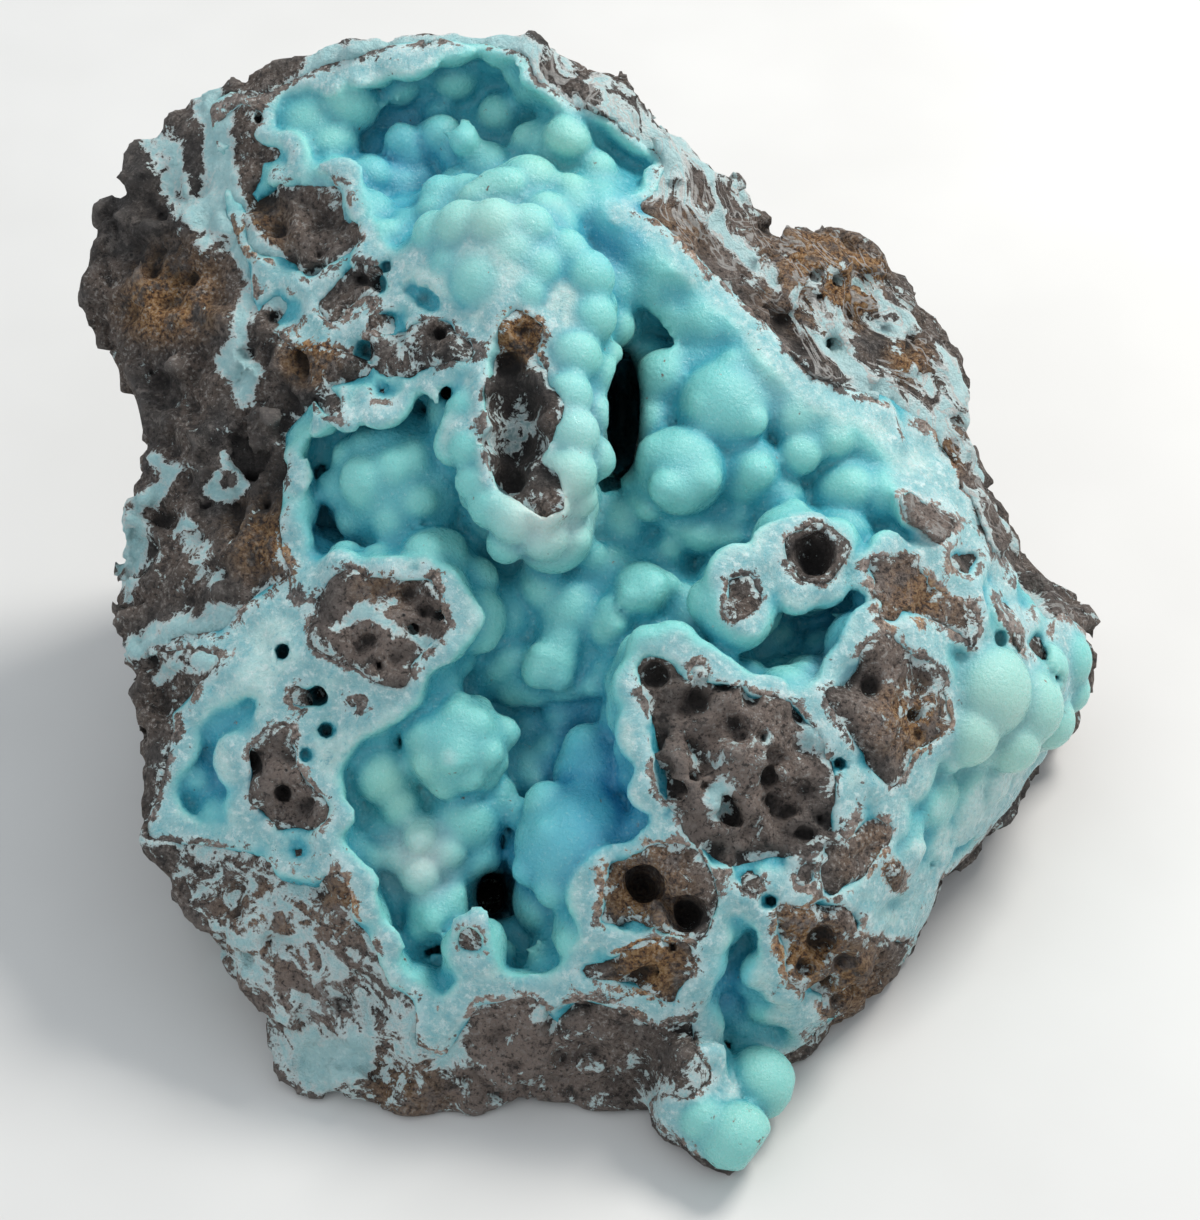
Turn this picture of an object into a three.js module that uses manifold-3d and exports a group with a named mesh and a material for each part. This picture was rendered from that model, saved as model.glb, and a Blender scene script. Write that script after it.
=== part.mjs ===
// Raw hemimorphite: a hand-sized lump of brown limonite rock, broken open on its upper front. The hollows
// behind the broken face are lined with one blue-green crust of botryoidal hemimorphite, and the stubs of
// rock that stand in them are wrapped by it. Millimetres, +Z up; the lump stands on the flat at z = 0.
import * as THREE from "three";
import { ConvexGeometry } from "three/addons/geometries/ConvexGeometry.js";
import { ImprovedNoise } from "three/addons/math/ImprovedNoise.js";
import { TessellateModifier } from "three/addons/modifiers/TessellateModifier.js";
import { mergeVertices } from "three/addons/utils/BufferGeometryUtils.js";
import Module from "manifold-3d";

const wasm = await Module();
wasm.setup();

// Places on the broken face are written as [across, up, out]: millimetres along the face as it is seen from
// an eye point in front of it and above, with out measured towards that point.
const EYE_TILT = THREE.MathUtils.degToRad(44);
const EYE_REACH = 320;
const MIDDLE = new THREE.Vector3(0, 0, 35);
const STAND = new THREE.Vector3(0.46, -1.9, 0); // brings the middle of the lump's box over the origin

const CRUST = 3.4; // thickness of the crust on a wall of the hollow
const GAP = 0.3; // between the crust and the rock
const CLEAR = 2.5; // height under which there is rock only
const FACET = 18; // longest edge of the rough outer surface
const ROUGH = 1.1; // height of its coarse lumps
const GRAIN = 0.5; // height of its fine ones
const SEAT = 0.8; // how far a lobe's centre stands off the rock, of its radius
const SWELL = 0.7; // unevenness of the hollow's walls
const FRONT = 26; // out as far as this, past everything
const STUB_FOOT = -18; // where the stubs of rock end, behind the floors
const BROAD = 31; // spacings of the unevenness: broad swells, coarse lumps, fine lumps
const COARSE = 13;
const FINE = 5;
const SCOOP_CELL = 6; // the same, of the scoops and of the hollow's walls
const WALL_CELL = 7;
const WALL_BEND = 14; // how far from a cup's middle its wall bends by the whole unevenness
const RUN_ON = 1.6; // how far a cup's walls run on, of the way to the mouth
const SLAB = { side: 300, height: 100 }; // the ground under the lump, to cut with

// The broken-off lump as a convex body: corners seen from the eye point, then the back's in x, y, z.
const SEEN_CORNERS = [
  [-39.5, 51.5, -14], [-30, 55, -10], [-20, 56, -8], [-8, 58, -6], [1, 53, -9], [10, 45, -10],
  [17, 40, -12], [26, 38, -14], [29, 32, -14], [35, 24, -14], [39, 11, -15], [43, 3, -15],
  [50, -1, -18], [49.5, -8, -20], [46, -15, -28], [33, -27, -19.5], [30.5, -35, -10], [28, -40.5, -7],
  [19, -45, -2], [4, -51, 2], [-10, -48.5, 0], [-23, -51, 2], [-31, -49, 0.5], [-39, -34, 1],
  [-46, -23, 2], [-45.5, -15, -2], [-48.5, 0, -8], [-46, 13, -10], [-46, 19, -12], [-51.5, 28, -15],
  [-52, 33, -16], [-50.5, 39, -16], [-46, 47, -16], [-8, 55, -2], [0, 39.5, 3], [-10, 37, 8],
  [-9, 21, 12], [-21.5, -1, 9], [-30, 16, 4], [-34, -15, 7], [-25, -27, 9], [14.5, -16, 14],
  [5.5, -29, 14], [10, -39, 11], [-8, -39, 9], [-19, -40, 8], [24, -35, 9], [30, -9, 9], [23, 5, 6],
  [28, 13, 3], [40, -1, 0], [45, -9, -6],
];
const BACK_CORNERS = [
  [-40, 46, 55], [-10, 50, 66], [30, 44, 50], [50, 30, 25], [-38, 44, -2], [0, 50, -2], [35, 40, -2],
  [53, 15, -2], [-48, 20, -2], [-45, -10, 5],
];
const TOE_CORNERS = [
  [13.5, -57.5, 8], [19, -49, 4], [5, -52, 4], [9, -55.5, 8], [20, -43, 0], [8, -44, 12], [17, -43, 10],
  [7, -49, 10], [16.5, -50, 11], [12.5, -55, 11.5], [4, -42, 2],
];

// Scoops broken out of the rock's outside: across, up, out, then the radii along the three.
const SCOOPS = [
  [-53, 19, -10, 7, 8, 12], [-36, 9, 10, 5, 7, 7], [-50, -33, 2, 8, 9, 10], [31.5, 38, -10, 7, 6, 10],
];

// Deep cups of the hollow, open to the front: across, up, out of the widest place, the three radii, turn.
const CUPS = [
  [-20, 46.5, -5, 19.5, 10, 9, 0], [13.5, 20.5, -2, 23, 16, 12, -38], [-1, 0.5, 0, 19, 17, 10, 0],
  [-20.5, 12, 0, 13.5, 12.5, 10, 0], [-12, -21, -1, 16, 17, 12, 0], [22, -1.5, 1, 11, 10, 9, 0],
  [38.5, -18, -8, 10, 7, 8, 40], [14.5, -40, 0, 5.5, 8, 8, 0],
];

// Shallow places that the crust fills to the face: an outline, and a sloping floor given by how far out it
// is at the middle and how much further out with each millimetre across and up.
const FILLS = [
  {
    floor: [4, 0, -0.28],
    outline: [
      [-39.5, 50.5], [-37.5, 42], [-41, 37], [-35, 34.5], [-36, 22], [-34, 26], [-22, 24], [-30, 14],
      [-13, 19], [-4, 38], [-18, 37], [-27, 48],
    ],
  },
  {
    floor: [12, 0.4, 0],
    outline: [
      [-30.5, 6], [-37, 0], [-47, -5], [-37.5, -5], [-43, -11], [-46, -23], [-34, -24.5], [-28, -28],
      [-20, -20], [-14, 0], [-20, 5],
    ],
  },
  {
    floor: [9.5, 0, 0.12],
    outline: [
      [-25, -31], [-20.5, -35], [-18.5, -44], [-12, -39.5], [-4.5, -42], [2, -40], [11, -41], [11, -46.5],
      [5, -50], [9, -55.5], [14, -56], [19, -49], [20, -30], [-10, -26], [-28, -26],
    ],
  },
  {
    floor: [17.5, -0.6, 0],
    outline: [
      [15, -38], [28, -42], [33, -33], [32.5, -27], [44, -18], [49.5, -8], [50, -3], [43.5, -3],
      [36.5, 14], [29, 21], [20, 11], [2, -4], [5, -35],
    ],
  },
];

// Stubs of rock that reach the face, each an outline on the face.
const STUBS = [
  [[-8.5, 30.5], [-6, 28.5], [-4, 19], [-7.5, 11], [-11, 12], [-12.5, 16], [-11, 27]],
  [[-28.5, 1.5], [-25.5, 3.5], [-17, 3], [-16, -1], [-20, -7.5], [-26, -4.5]],
  [[-35, -14], [-31.5, -12], [-30, -17], [-27, -20], [-32, -22]],
  [[4, -6], [9, -8], [19, -9.5], [22.5, -13.5], [22.5, -22], [14, -25.5], [10, -23], [5, -12]],
  [[0.5, -25], [9, -24.5], [11.5, -29], [9.5, -32], [-0.5, -31.5]],
  [[-2, -36], [8, -33.5], [9, -36], [7, -39]],
  [[17.5, -32], [26, -30.5], [30.5, -34], [29, -40], [26, -42], [19, -36.5]],
  [[22.5, -8], [29, -3], [34, -6], [34.5, -11], [29.5, -18], [25, -12.5]],
  [[27, 4], [30, 5], [37.5, -1], [29, 1]],
  [[-35.5, 40.5], [-26, 42.5], [-24, 37.5], [-29.5, 33], [-35, 37]],
];

// Walls and raised floors that stop short of the face and are buried in the crust: outline, out of the top.
const BURIED = [
  [[[-17.5, 37.5], [2, 42], [0, 37.5], [-17, 34.5]], 3],
  [[[-27, 31], [-6, 36], [-13, 22], [-27, 20.5]], 4],
  [[[3, 40], [16, 30], [27, 18], [27, 10], [18, 7], [8, 9], [8, 26]], -3],
  [[[-12, -1], [-2, 5], [8, 4], [10, -4], [-4, -9], [-11, -7]], 0],
  [[[-21, -15], [-14, -10], [-5, -15], [-6, -27], [-20, -31]], 1],
];

// Pits in the stubs: across, up, radius, depth.
const PITS = [[-9, 24, 2, 8], [-8, 15, 2, 6], [4, -27.5, 1.8, 6], [8, -30, 1.6, 5]];

// Lobes of the crust, seated on the rock where the eye point sees it: across, up, radius.
const LOBES = [
  [-20, 12.4, 7.6], [12, 20, 5.5], [6.5, 14, 4.5], [5, 26, 4], [14, 12.5, 4.5], [20.5, 17, 5], [25, 9, 4.5],
  [0, 8, 4], [-5, 1, 4], [-13, -6, 4], [2, -3, 4], [10, 2, 4.5], [-14.5, -13.5, 5.5], [-21, -20, 4.5],
  [-15, -30, 4.5], [-2, -24, 6.5], [-1, -13, 4.5], [-29, 48.5, 5], [-21, 43, 4.5], [-20, 50.5, 4.5],
  [-12, 46, 5.5], [-4.5, 46, 4.5], [37, -19, 5], [22, -1, 4.5],
];

// Whole balls on the toe and at the right-hand tip, outside the broken face: across, up, out, radius.
const WHOLE_BALLS = [
  [15.5, -47, 9.5, 3.6], [14.5, -53, 11, 3.2], [47, -5, -15, 3.6], [45, -11, -14, 3.2],
];

const noise = new ImprovedNoise();
const sine = Math.sin(EYE_TILT);
const cosine = Math.cos(EYE_TILT);

// A place on the face, [across, up, out], in the part's own x, y, z.
function seen(across, up, out) {
  const shrink = 1 - out / EYE_REACH;
  return new THREE.Vector3(
    MIDDLE.x + across * shrink,
    MIDDLE.y + up * shrink * sine - out * cosine,
    MIDDLE.z + up * shrink * cosine + out * sine,
  );
}

// Smooth unevenness between -1 and 1, the same wherever two shapes share a place.
function lumps(place, cell) {
  return noise.noise(place.x / cell, place.y / cell, place.z / cell);
}

// Moves every vertex of a geometry with a function of its place.
function moved(geometry, move) {
  const position = geometry.attributes.position;
  const place = new THREE.Vector3();
  for (let i = 0; i < position.count; i += 1) {
    const to = move(place.fromBufferAttribute(position, i));
    position.setXYZ(i, to.x, to.y, to.z);
  }
  return geometry;
}

// A closed three.js geometry as a solid that can be joined and cut.
function solidOf(geometry) {
  geometry.deleteAttribute("normal");
  geometry.deleteAttribute("uv");
  const merged = mergeVertices(geometry, 1e-4);
  return new wasm.Manifold(
    new wasm.Mesh({
      numProp: 3,
      vertProperties: new Float32Array(merged.attributes.position.array),
      triVerts: new Uint32Array(merged.index.array),
    }),
  );
}

function geometryOf(solid) {
  const mesh = solid.getMesh();
  const geometry = new THREE.BufferGeometry();
  geometry.setAttribute("position", new THREE.BufferAttribute(mesh.vertProperties, 3));
  geometry.setIndex(new THREE.BufferAttribute(mesh.triVerts, 1));
  return geometry;
}

function joined(solids) {
  return solids.reduce((whole, solid) => whole.add(solid));
}

// The largest body of a solid, without the specks that a cut leaves.
function largest(solid) {
  return solid.decompose().sort((a, b) => b.volume() - a.volume())[0];
}

// Everything below a height.
function groundUpTo(height) {
  const slab = new THREE.BoxGeometry(SLAB.side, SLAB.side, SLAB.height);
  return solidOf(slab.translate(0, 0, height - SLAB.height / 2));
}

// A rough convex body with a flat underside at z = 0.
function roughBody(corners, depth) {
  const centre = new THREE.Vector3();
  corners.forEach((corner) => centre.addScaledVector(corner, 1 / corners.length));
  const body = new TessellateModifier(FACET, 12).modify(new ConvexGeometry(corners));
  moved(body, (place) => {
    const away = place.clone().sub(centre).normalize();
    const height = depth * (2 * lumps(place, COARSE) + lumps(place, BROAD)) + GRAIN * 2 * lumps(place, FINE);
    return place.addScaledVector(away, height - depth / 2);
  });
  return solidOf(body).subtract(groundUpTo(0));
}

// A round-bottomed cup whose walls run on towards the eye point, smaller by thickness all round.
function cup([across, up, out, radiusAcross, radiusUp, radiusOut, turn], thickness) {
  const mouth = FRONT - out;
  const sphere = new THREE.SphereGeometry(1, 9, 6).rotateX(Math.PI / 2);
  moved(sphere, (place) => {
    const deep = place.z < 0 ? radiusOut - thickness : mouth * RUN_ON;
    return place.set(place.x * (radiusAcross - thickness), place.y * (radiusUp - thickness), place.z * deep);
  });
  sphere.rotateZ(THREE.MathUtils.degToRad(turn));
  moved(sphere, (place) => {
    const to = seen(across + place.x, up + place.y, out + place.z);
    const uneven = SWELL * 2 * lumps(to, WALL_CELL);
    const widen = 1 + uneven / WALL_BEND;
    return seen(across + place.x * widen, up + place.y * widen, out + place.z - uneven);
  });
  return solidOf(sphere);
}

// An outline moved outwards by a distance, or inwards by a negative one.
function grown(outline, by) {
  const points = outline.map(([x, y]) => new THREE.Vector2(x, y));
  if (THREE.ShapeUtils.area(points) < 0) points.reverse();
  return points.map((point, i) => {
    const before = point.clone().sub(points.at(i - 1)).normalize();
    const after = points[(i + 1) % points.length].clone().sub(point).normalize();
    const normal = new THREE.Vector2(before.y + after.y, -before.x - after.x).normalize();
    const mitre = Math.max(0.5, normal.dot(new THREE.Vector2(before.y, -before.x)));
    return point.clone().addScaledVector(normal, by / mitre);
  });
}

// An outline on the face run out to a distance, from another that may depend on the place.
function prism(outline, from, to, by) {
  const shape = new THREE.Shape(grown(outline, by));
  const geometry = new THREE.ExtrudeGeometry(shape, { depth: 1, steps: 1, bevelEnabled: false });
  moved(geometry, ({ x, y, z }) => seen(x, y, z < 0.5 ? from(x, y) : to));
  return solidOf(geometry);
}

// Everything that is broken or worn out of the rock for the crust, smaller by inset all round.
function hollowOf(inset) {
  const fills = FILLS.map(({ outline, floor: [middle, byAcross, byUp] }) =>
    prism(outline, (x, y) => middle + byAcross * x + byUp * y + inset, FRONT, -inset),
  );
  const cups = joined(CUPS.map((one) => cup(one, inset)));
  return joined([cups, ...fills])
    .subtract(wallsOf(inset, inset))
    .subtract(groundUpTo(CLEAR + inset));
}

// The stubs and buried walls, thicker by side all round and by cap on the buried tops.
function wallsOf(side, cap) {
  const stubs = STUBS.map((outline) => prism(outline, () => STUB_FOOT, FRONT + 2, side));
  const buried = BURIED.map(([outline, top]) => prism(outline, () => STUB_FOOT, top + cap, side));
  return joined([...stubs, ...buried]);
}

function ball(centre, radius) {
  const geometry = new THREE.IcosahedronGeometry(radius, 1);
  return solidOf(geometry.translate(centre.x, centre.y, centre.z));
}

// How far out the eye point sees a solid, past a place on the face.
function outAt(solid, across, up) {
  const target = new THREE.Mesh(geometryOf(solid), new THREE.MeshBasicMaterial({ side: THREE.DoubleSide }));
  const from = seen(across, up, FRONT);
  const line = seen(across, up, -FRONT).sub(from).normalize();
  const { point } = new THREE.Raycaster(from, line).intersectObject(target)[0];
  return (point.z - MIDDLE.z) * sine - (point.y - MIDDLE.y) * cosine;
}

function crustOf(body, rock) {
  const room = hollowOf(GAP);
  const inside = joined(CUPS.map((one) => cup(one, CRUST + GAP))).subtract(wallsOf(CRUST, CRUST));
  const lobes = LOBES.map(([across, up, radius]) =>
    ball(seen(across, up, outAt(rock, across, up) + radius * SEAT), radius),
  );
  const lining = joined([room.subtract(inside), ...lobes]).intersect(room).intersect(body);
  const whole = WHOLE_BALLS.map(([across, up, out, radius]) => ball(seen(across, up, out), radius));
  return largest(joined([lining, ...whole]));
}

// A stretched ball, placed on the face by its middle and its radii across, up and out.
function oval([across, up, out], [radiusAcross, radiusUp, radiusOut]) {
  const sphere = new THREE.SphereGeometry(1, 8, 6);
  const place = ({ x, y, z }) => seen(across + x * radiusAcross, up + y * radiusUp, out + z * radiusOut);
  return moved(sphere, place);
}

function rockOf(body) {
  const scoops = SCOOPS.map(([across, up, out, ...radii]) => {
    const roughen = (place) => place.addScalar(2 * ROUGH * lumps(place, SCOOP_CELL));
    return solidOf(moved(oval([across, up, out], radii), roughen));
  });
  const pits = PITS.map(([across, up, radius, depth]) =>
    solidOf(oval([across, up, outAt(body, across, up)], [radius, radius, depth])),
  );
  const pockets = WHOLE_BALLS.map(([across, up, out, radius]) => ball(seen(across, up, out), radius + GAP));
  return largest(body.subtract(joined([...scoops, ...pits, ...pockets, hollowOf(0)])));
}

const LUMP_CORNERS = [
  ...SEEN_CORNERS.map((corner) => seen(...corner)),
  ...BACK_CORNERS.map((corner) => new THREE.Vector3(...corner)),
];
const lump = roughBody(LUMP_CORNERS, ROUGH);
const toe = roughBody(TOE_CORNERS.map((corner) => seen(...corner)), GRAIN);
const body = lump.add(toe);
const rock = rockOf(body);
const crust = crustOf(body, rock);

const matrix = new THREE.Mesh(
  geometryOf(rock),
  new THREE.MeshStandardMaterial({ color: 0x5f5048, roughness: 0.9, metalness: 0 }),
);
matrix.name = "matrix";

const hemimorphiteCrust = new THREE.Mesh(
  geometryOf(crust),
  new THREE.MeshStandardMaterial({ color: 0x6fc3c4, roughness: 0.45, metalness: 0 }),
);
hemimorphiteCrust.name = "hemimorphite_crust";

const specimen = new THREE.Group();
specimen.add(matrix, hemimorphiteCrust);
specimen.position.copy(STAND);
export default specimen;
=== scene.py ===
# Raw hemimorphite: a lump of brown limonite rock, broken open on its upper front, with its hollows lined
# by one blue-green crust of crystal balls.
import math
import time

import bmesh
import bpy
import numpy as np
import openvdb
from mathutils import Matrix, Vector


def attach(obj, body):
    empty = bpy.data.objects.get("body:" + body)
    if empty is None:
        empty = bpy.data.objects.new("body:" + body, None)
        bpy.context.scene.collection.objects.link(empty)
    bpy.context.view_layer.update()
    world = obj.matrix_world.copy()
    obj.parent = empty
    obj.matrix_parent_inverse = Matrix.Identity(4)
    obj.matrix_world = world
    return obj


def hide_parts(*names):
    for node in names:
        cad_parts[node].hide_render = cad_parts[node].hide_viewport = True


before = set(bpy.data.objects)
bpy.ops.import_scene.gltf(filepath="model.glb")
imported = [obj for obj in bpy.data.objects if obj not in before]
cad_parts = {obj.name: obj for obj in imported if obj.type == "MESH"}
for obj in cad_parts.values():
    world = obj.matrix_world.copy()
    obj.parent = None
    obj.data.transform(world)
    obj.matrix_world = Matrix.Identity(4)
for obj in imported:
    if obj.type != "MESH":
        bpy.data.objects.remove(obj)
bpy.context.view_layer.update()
started = time.time()


def say(stage):
    print(f"{time.time() - started:6.1f} s  {stage}", flush=True)


# Lengths are in millimetres until a mesh is made. A place on the broken face is (across, up, out) as it
# lies to an eye point in front of the face and above it, with out measured towards that point.
sight = {"tilt": 44.0, "reach": 320.0, "middle": (0.46, -1.9, 35.0)}
grid = {"step": 0.62, "low": (-57.0, -52.5, -2.5), "high": (57.0, 52.5, 76.5)}

sine = math.sin(math.radians(sight["tilt"]))
cosine = math.cos(math.radians(sight["tilt"]))
middle = np.array(sight["middle"])
step = grid["step"]
low = np.array(grid["low"])
counts = np.ceil((np.array(grid["high"]) - low) / step).astype(int) + 1


def fromSight(across, up, out):
    shrink = 1 - out / sight["reach"]
    aside, above = across * shrink, up * shrink
    return np.array([middle[0] + aside, middle[1] + above * sine - out * cosine,
                     middle[2] + above * cosine + out * sine])


def toSight(points):
    x, y, z = (points - middle).T
    out = z * sine - y * cosine
    shrink = 1 - out / sight["reach"]
    return x / shrink, (y * sine + z * cosine) / shrink, out


gridX = (low[0] + step * np.arange(counts[0])).astype(np.float32)[:, None, None]
gridY = (low[1] + step * np.arange(counts[1])).astype(np.float32)[None, :, None]
gridZ = (low[2] + step * np.arange(counts[2])).astype(np.float32)[None, None, :]
gridOut = (gridZ - middle[2]) * sine - (gridY - middle[1]) * cosine
gridShrink = 1 - gridOut / sight["reach"]
gridUp = ((gridY - middle[1]) * sine + (gridZ - middle[2]) * cosine) / gridShrink
gridAcross = (gridX - middle[0]) / gridShrink


# fields: signed distances on the grid, negative inside, and 9 where nothing is near
def emptyField():
    return np.full(tuple(counts), 9.0, np.float32)


def hullField(corners):
    hull = bmesh.new()
    for corner in corners:
        hull.verts.new(corner)
    bmesh.ops.convex_hull(hull, input=hull.verts)
    hull.normal_update()
    inside = None
    for side in hull.faces:
        lean = side.normal
        plane = (lean.x * gridX + lean.y * gridY) + (lean.z * gridZ - lean.dot(side.verts[0].co))
        inside = plane if inside is None else np.maximum(inside, plane)
    hull.free()
    return inside.astype(np.float32)


# smooth lumps of one size, about -1 to 1: random knots under a cubic spline
def lumps(cell, seed):
    weights = []
    for k in range(3):
        at = np.arange(counts[k]) * step / cell + 1.0
        knot = np.floor(at).astype(int)
        past = at - knot
        table = np.zeros((counts[k], int(at[-1]) + 4), np.float32)
        rows = np.arange(counts[k])
        table[rows, knot - 1] = (1 - past) ** 3 / 6
        table[rows, knot] = (3 * past**3 - 6 * past**2 + 4) / 6
        table[rows, knot + 1] = (-3 * past**3 + 3 * past**2 + 3 * past + 1) / 6
        table[rows, knot + 2] = past**3 / 6
        weights.append(table)
    sizes = [table.shape[1] for table in weights]
    # the spline flattens the knots, which is why they reach past 1
    knots = np.random.default_rng(seed).uniform(-1.9, 1.9, sizes).astype(np.float32)
    sheet = np.tensordot(weights[0], knots, (1, 0))
    sheet = np.einsum("jb,ibc->ijc", weights[1], sheet, optimize=True)
    return np.matmul(sheet, weights[2].T)


# a field moved by lumps of several sizes, each with its own height
def roughened(field, heights, bumps):
    for height, bump in zip(heights, bumps):
        field = field + height * bump
    return field


# tilted chips: every point takes the height and lean of the nearest of many scattered seeds
def chips(points, cell, steepness, seed, many=4096):
    dice = np.random.default_rng(seed)
    jitter = dice.random((many, 3)).astype(np.float32)
    height = dice.uniform(-1, 1, many).astype(np.float32)
    lean = (dice.normal(size=(many, 3)) * steepness).astype(np.float32)
    points = (points / cell).astype(np.float32)
    base = np.floor(points).astype(np.int64)
    nearest = np.full(len(points), 9.0, np.float32)
    value = np.zeros(len(points), np.float32)
    for shift in np.ndindex(3, 3, 3):
        corner = base + np.array(shift) - 1
        # large primes mix the three cell numbers into one seed number
        key = (corner[:, 0] * 73856093 ^ corner[:, 1] * 19349663 ^ corner[:, 2] * 83492791) & (many - 1)
        away = points - corner - jitter[key]
        distance = (away * away).sum(1)
        closer = distance < nearest
        nearest = np.where(closer, distance, nearest)
        value = np.where(closer, height[key] + (away * lean[key]).sum(1), value)
    return value


# the lesser of two fields, rounded where they cross
def smoothMin(first, second, blend):
    share = np.clip(0.5 + 0.5 * (second - first) / blend, 0, 1)
    return second + (first - second) * share - blend * share * (1 - share)


def smoothMax(first, second, blend):
    return -smoothMin(-first, -second, blend)


# the part of the grid within reach of a place
def boxAround(centre, reach):
    first = np.clip(np.floor((np.asarray(centre) - reach - low) / step).astype(int), 0, counts)
    last = np.clip(np.ceil((np.asarray(centre) + reach - low) / step).astype(int) + 1, 0, counts)
    return tuple(slice(int(start), int(end)) for start, end in zip(first, last))


def part(values, box):
    return values[tuple(cut if values.shape[k] > 1 else slice(None) for k, cut in enumerate(box))]


# an oval on the face: centre across, up and out, and its three radii; mouth is how much it narrows
# towards the eye point
def addOval(field, oval, blend, mouth, margin=30.0):
    across, up, out, wide, high, deep = oval
    box = boxAround(fromSight(across, up, out), max(wide, high, deep) + margin)
    aside, above, outward = part(gridAcross, box) - across, part(gridUp, box) - up, part(gridOut, box) - out
    outward = np.where(outward > 0, outward * mouth, outward)
    ratio = np.sqrt((aside / wide) ** 2 + (above / high) ** 2 + (outward / deep) ** 2)
    steep = np.sqrt((aside / wide**2) ** 2 + (above / high**2) ** 2 + (outward / deep**2) ** 2)
    distance = np.minimum(ratio * (ratio - 1) / (steep + 1e-6), 9).astype(np.float32)
    field[box] = smoothMin(field[box], distance, blend)


def addBalls(field, centres, radii, blend, margin=2.5):
    for centre, radius in zip(centres, radii):
        box = boxAround(centre, radius + margin)
        x, y, z = part(gridX, box) - centre[0], part(gridY, box) - centre[1], part(gridZ, box) - centre[2]
        distance = np.sqrt(x * x + y * y + z * z) - radius
        field[box] = smoothMin(field[box], distance.astype(np.float32), blend)


# a field's values at points
def sample(field, points):
    place = (points - low) / step
    cell = np.clip(np.floor(place).astype(int), 0, counts - 2)
    within = np.clip(place - cell, 0, 1)
    total = 0
    for dx, dy, dz in np.ndindex(2, 2, 2):
        weight = abs(1 - dx - within[:, 0]) * abs(1 - dy - within[:, 1]) * abs(1 - dz - within[:, 2])
        total = total + weight * field[cell[:, 0] + dx, cell[:, 1] + dy, cell[:, 2] + dz]
    return total


# which way a field grows, at grid points
def slope(field, index):
    rise = np.empty((len(index), 3))
    for k in range(3):
        more, less = index.copy(), index.copy()
        more[:, k] = np.minimum(more[:, k] + 1, counts[k] - 1)
        less[:, k] = np.maximum(less[:, k] - 1, 0)
        rise[:, k] = field[tuple(more.T)] - field[tuple(less.T)]
    return rise / (np.linalg.norm(rise, axis=1, keepdims=True) + 1e-9)


# grid points of a mask, shuffled and then thinned until they are spacing apart
def scatter(mask, spacing, seed):
    index = np.argwhere(mask)
    index = index[np.random.default_rng(seed).permutation(len(index))]
    points = low + index * step
    cells = np.floor(points / spacing).astype(int)
    taken, kept = {}, []
    for i, (point, cell) in enumerate(zip(points, cells.tolist())):
        near = False
        for dx, dy, dz in np.ndindex(3, 3, 3):
            other = taken.get((cell[0] + dx - 1, cell[1] + dy - 1, cell[2] + dz - 1))
            if other is not None and ((points[other] - point) ** 2).sum() < spacing**2:
                near = True
                break
        if not near:
            taken[tuple(cell)] = i
            kept.append(i)
    return index[kept], points[kept]


# how full of stone the neighbourhood of every grid point is, 0 to 1
def fullness(solid, reach):
    reach = max(1, int(round(reach / step)))
    span = 2 * reach + 1
    for axis in range(3):
        padded = np.concatenate([np.repeat(solid.take([0], axis), reach + 1, axis), solid,
                                 np.repeat(solid.take([-1], axis), reach, axis)], axis)
        total = np.cumsum(padded, axis, dtype=np.float32)
        size = solid.shape[axis]
        solid = (total.take(range(span, span + size), axis) - total.take(range(size), axis)) / span
    return solid


# maps over the broken face: distances from lines and outlines (negative inside), and strengths
mapStep, mapReach = 0.25, 72.0
mapLine = np.arange(-mapReach, mapReach + mapStep, mapStep).astype(np.float32)
mapAcross, mapUp = mapLine[:, None], mapLine[None, :]


def lineMap(points, closed=False):
    ends = list(zip(points, points[1:] + points[:1] if closed else points[1:]))
    nearest = np.full((len(mapLine), len(mapLine)), 1e6, np.float32)
    inside = np.zeros(nearest.shape, bool)
    for (x1, y1), (x2, y2) in ends:
        runX, runY = x2 - x1, y2 - y1
        fromX, fromY = mapAcross - x1, mapUp - y1
        along = np.clip((fromX * runX + fromY * runY) / (runX * runX + runY * runY), 0, 1)
        nearest = np.minimum(nearest, (fromX - runX * along) ** 2 + (fromY - runY * along) ** 2)
        if closed and y1 != y2:
            inside ^= ((y1 > mapUp) != (y2 > mapUp)) & (mapAcross < runX * (mapUp - y1) / runY + x1)
    return np.sqrt(nearest) * np.where(inside, -1, 1)


def outlineMap(points):
    return lineMap(points, True)


def readMap(sheet, across, up):
    right = np.clip((np.asarray(across) + mapReach) / mapStep, 0, len(mapLine) - 1.001)
    above = np.clip((np.asarray(up) + mapReach) / mapStep, 0, len(mapLine) - 1.001)
    column, row = right.astype(np.int32), above.astype(np.int32)
    right, above = right - column, above - row
    flat, at = sheet.ravel(), column * len(mapLine) + row
    near = flat[at] * (1 - above) + flat[at + 1] * above
    far = flat[at + len(mapLine)] * (1 - above) + flat[at + len(mapLine) + 1] * above
    return (near + (far - near) * right).astype(np.float32)


# round spots that fade at their edges: across, up, radius, strength
def spotMap(table):
    total = np.zeros((len(mapLine), len(mapLine)), np.float32)
    for across, up, radius, strength in table:
        total += strength * np.clip(1.25 - np.hypot(mapAcross - across, mapUp - up) / radius, 0, 1)
    return total


# streaks along lines, which fade at their edges: width, strength, points
def streakMap(table):
    total = np.zeros((len(mapLine), len(mapLine)), np.float32)
    for width, strength, points in table:
        total += strength * np.clip(1.6 - lineMap(points) / width, 0, 1)
    return total


say(f"grid {counts.tolist()}")

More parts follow.
